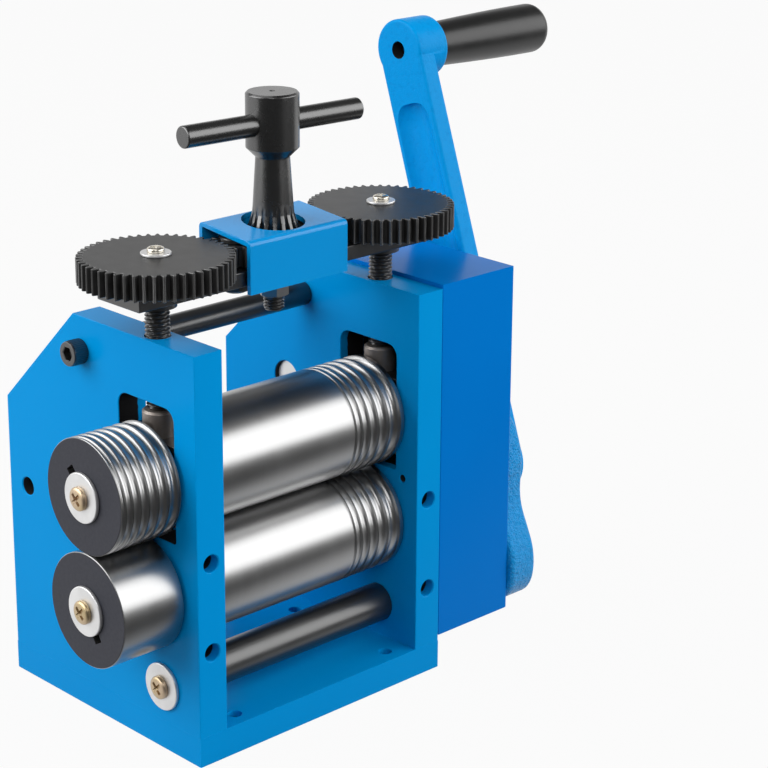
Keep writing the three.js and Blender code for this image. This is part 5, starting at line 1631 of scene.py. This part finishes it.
pin_head = gear_low + 9.9
for side, word in both_sides:
    spot = (side * idler_x, line_y)
    profile = [(bridge_low - 5.2, 4), (pin_head - 1.6, 4), (pin_head - 1.6, 5.5)]
    profile += [(pin_head - 0.4, 5.5), (pin_head, 5.1)]
    pin = lathe(f"{word}_pin", "z", profile, spot, 48)
    join(pin, hex_nut("nut", "z", bridge_low - 4.2, bridge_low - gap, 13, 7.8, spot))
    dress(pin, "black_steel", "bridge", "plain_steel", f"{word}_idler_pin")

# %% [markdown]
# The T-handle's spindle is turned from one bar, and its pinion is cut into the foot of the neck. The
# cutter runs out in the flare above the gear, which leaves the long pointed flutes that show in front of
# the cover's hole. A radius that changes round the axis as well as along it gives the whole form in one
# skin.

# %% Shape the flutes
pinion_pitch = top_module * pinion_teeth / 2
pinion_tip = pinion_pitch + top_module
pinion_root = pinion_pitch - 1.25 * top_module
neck_high = 223.0
neck_radius = 6.65
flute_floor = 7.8
flute_high = 206
flute_width = 1.26
flute_slope = 0.7
hub_low = 227.0
hub_high = 248.4
hub_wide = 10.3
bar_height = 236.3
bar_radius = 4.3
bar_reach = 41.5
bar_turn = -3.7


def flute(angle, station, radius, row):
    """The radius left by the cutter at this angle and height."""
    if not gear_low <= station < flute_high:
        return radius
    half_step = math.pi / pinion_teeth
    part = (angle + half_step) % (2 * half_step) - half_step
    half = half_step / 2
    share = min(1, max(0, (half * flute_width - abs(part)) / (half * flute_slope)))
    floor = pinion_root if station < gear_high else flute_floor
    return min(radius, floor + (pinion_tip - floor) * share)


print("flutes from", gear_low, "to", flute_high)

# %% Turn the spindle
flare = [(gear_high - 0.4, pinion_tip), (gear_high, 10.35), (196.7, 9.6), (199.1, 8.8)]
flare += [(201.5, 8.1), (205.5, 7.75)]
flare_rows = []
for low, high in zip(flare, flare[1:]):
    steps = max(1, round((high[0] - low[0]) / 0.3))
    flare_rows += [tuple(a + (b - a) * i / steps for a, b in zip(low, high)) for i in range(steps)]
flare_rows.append(flare[-1])
below = [(167.5, 4), (178.8, 4), (178.8, 5), (gear_low - 0.01, 5), (gear_low, pinion_tip)]
neck = [(212.2, 7.35), (neck_high, neck_radius), (hub_low - 3.65, neck_radius)]
hub = [(hub_low, hub_wide), (hub_high - 0.8, hub_wide), (hub_high, hub_wide - 0.8)]
mark = [(hub_high, 1.2), (hub_high - 1.0, 0.05)]
rows = below + flare_rows + eased([flare_rows[-1]] + neck + hub, 0.5)[1:] + mark
spindle = polar("t_spindle", "z", rows, flute, (0, line_y), pinion_teeth * 16)
join(spindle, threaded_rod("stub", 162.8, 168.5, 8.2, 1.25, 0, line_y))
bar_hole = drill("x", -20, 20, clear(2 * bar_radius), 0, bar_height, 64)
turn_bar = shift(0, line_y, 0) @ spin(bar_turn, "Z")
bar_hole.data.transform(turn_bar)
cut(spindle, bar_hole)
dress(spindle, "handle_black", "handle", "black_steel", "handle_spindle")

# %% Fit the cross bar and the nut
bar_ends = [(-bar_reach, 0.05), (-bar_reach, bar_radius), (bar_reach, bar_radius), (bar_reach, 0.05)]
bar = lathe("t_bar", "x", eased(bar_ends, 0.7, 3), (0, bar_height), 96)
bar.data.transform(turn_bar)
dress(bar, "handle_black", "handle", "black_steel", "handle_cross_bar")
nut = hex_nut("t_nut", "z", 168.6, 174.2, 10.6, 8.32, (0, line_y))
join(nut, ring_piece("flange", "z", 173.8, 178.5, 16, 8.32, (0, line_y), 0.3))
dress(nut, "plain_steel", "handle", "plain_steel", "spindle_nut")

# %% [markdown]
# ## Pieces that keep their CAD shape
#
# The layshaft is hidden in the housing, so its solid stays as it is. It still gets its finish, in case
# someone takes the housing off.

# %% Coat what is left of the CAD model
for name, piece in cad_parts.items():
    if not piece.hide_render:
        piece.data.materials.clear()
        piece.data.materials.append(finishes["black_steel"])
        print("kept", name)

# %% [markdown]
# ## Studio
#
# The mill stands on a white sheet. Two large soft lamps beside it draw the bright bands on the rolls and
# on the T-handle, a lamp above the camera lights the paint, and a weak one hangs overhead. To the camera
# and in mirrored rays the sheet and the lower part of the room are white. Mirrored rays that go towards
# the side that the mill's front faces find the room dim, which puts the dark bands into every shiny
# cylinder. All other rays meet plain greys, so that a colour renders about as it is written.

# %% Lay the floor and surround it
dim_side = (-0.35, -0.94, 0.0)
floor_half = 6000
floor_drop = 0.5
corners = [(x, y, 0) for x, y in rectangle(-floor_half, floor_half, -floor_half, floor_half)]
floor = raw_piece("floor", corners, [(0, 1, 2, 3)])
floor.location.z = -floor_drop * MM


def ray_kinds(bench, place, near, far):
    """Camera rays, mirrored rays, and how bright these find the room in their direction."""
    path = bench.node("ShaderNodeLightPath")
    pair = {0: place, 1: dim_side}
    ahead = bench.node("ShaderNodeVectorMath", {"operation": "DOT_PRODUCT"}, pair, output="Value")
    mirrored = path.sum("MAXIMUM", path.side("Is Glossy Ray"), path.side("Is Transmission Ray"))
    return path.side("Is Camera Ray"), mirrored, 1 - bench.ease(ahead, near, far) * 0.96


bench, place = start_finish("floor")
straight, mirrored, bright = ray_kinds(bench, place, 0.02, 0.14)
seen = straight.sum("MAXIMUM", straight, mirrored * bright)
plain_tone = bench.mix(mirrored * (1 - bright), grey(0.30), grey(0.02))
plain = bench.node("ShaderNodeBsdfDiffuse", {}, {"Color": plain_tone})
glow = bench.node("ShaderNodeEmission", {}, {"Color": grey(1.0), "Strength": 1.0})
lifted = bench.node("ShaderNodeMixShader", {}, {0: seen * 0.95, 1: plain, 2: glow})
bench.node("ShaderNodeOutputMaterial", {}, {"Surface": lifted})
floor.data.materials.append(finishes["floor"])

world = bpy.data.worlds.new("studio")
bpy.context.scene.world = world
world.use_nodes = True
bench = Bench(world.node_tree)
place = bench.node("ShaderNodeTexCoord", output="Generated")
height = bench.node("ShaderNodeSeparateXYZ", {}, {"Vector": place}).side("Z")
straight, mirrored, bright = ray_kinds(bench, place, 0.05, 0.35)
wall = bench.mix(bench.ease(height, 0.34, 0.52), grey(1.0), grey(0.10))
room = bench.mix(bright, grey(0.03), wall)
tone = bench.mix(mirrored, grey(0.18), room)
tone = bench.mix(straight, tone, wall)
sky = bench.node("ShaderNodeBackground", {}, {"Color": tone, "Strength": 1.0})
bench.node("ShaderNodeOutputWorld", {}, {"Surface": sky})
print("a white sheet and a plain room")


# %% Hang the lamps
def lamp(name, place, aim, size, power):
    data = bpy.data.lights.new(name, "AREA")
    data.shape = "RECTANGLE"
    data.size = size[0]
    data.size_y = size[1]
    data.energy = power
    made = bpy.data.objects.new(name, data)
    made.location = place
    made.rotation_euler = (Vector(aim) - Vector(place)).to_track_quat("-Z", "Y").to_euler()
    bpy.context.scene.collection.objects.link(made)


middle = (0, 0, 0.12)
lamp("overhead", (-0.2, 0.3, 1.6), middle, (1.0, 1.0), 4)
lamp("beside_left", (-1.25, 0.70, 0.90), middle, (1.8, 1.5), 30)
lamp("beside_right", (0.92, -1.22, 0.78), middle, (2.2, 1.3), 27)
lamp("above_camera", (-1.1, -1.2, 1.3), middle, (0.9, 0.9), 7.5)
print("four lamps and a world")
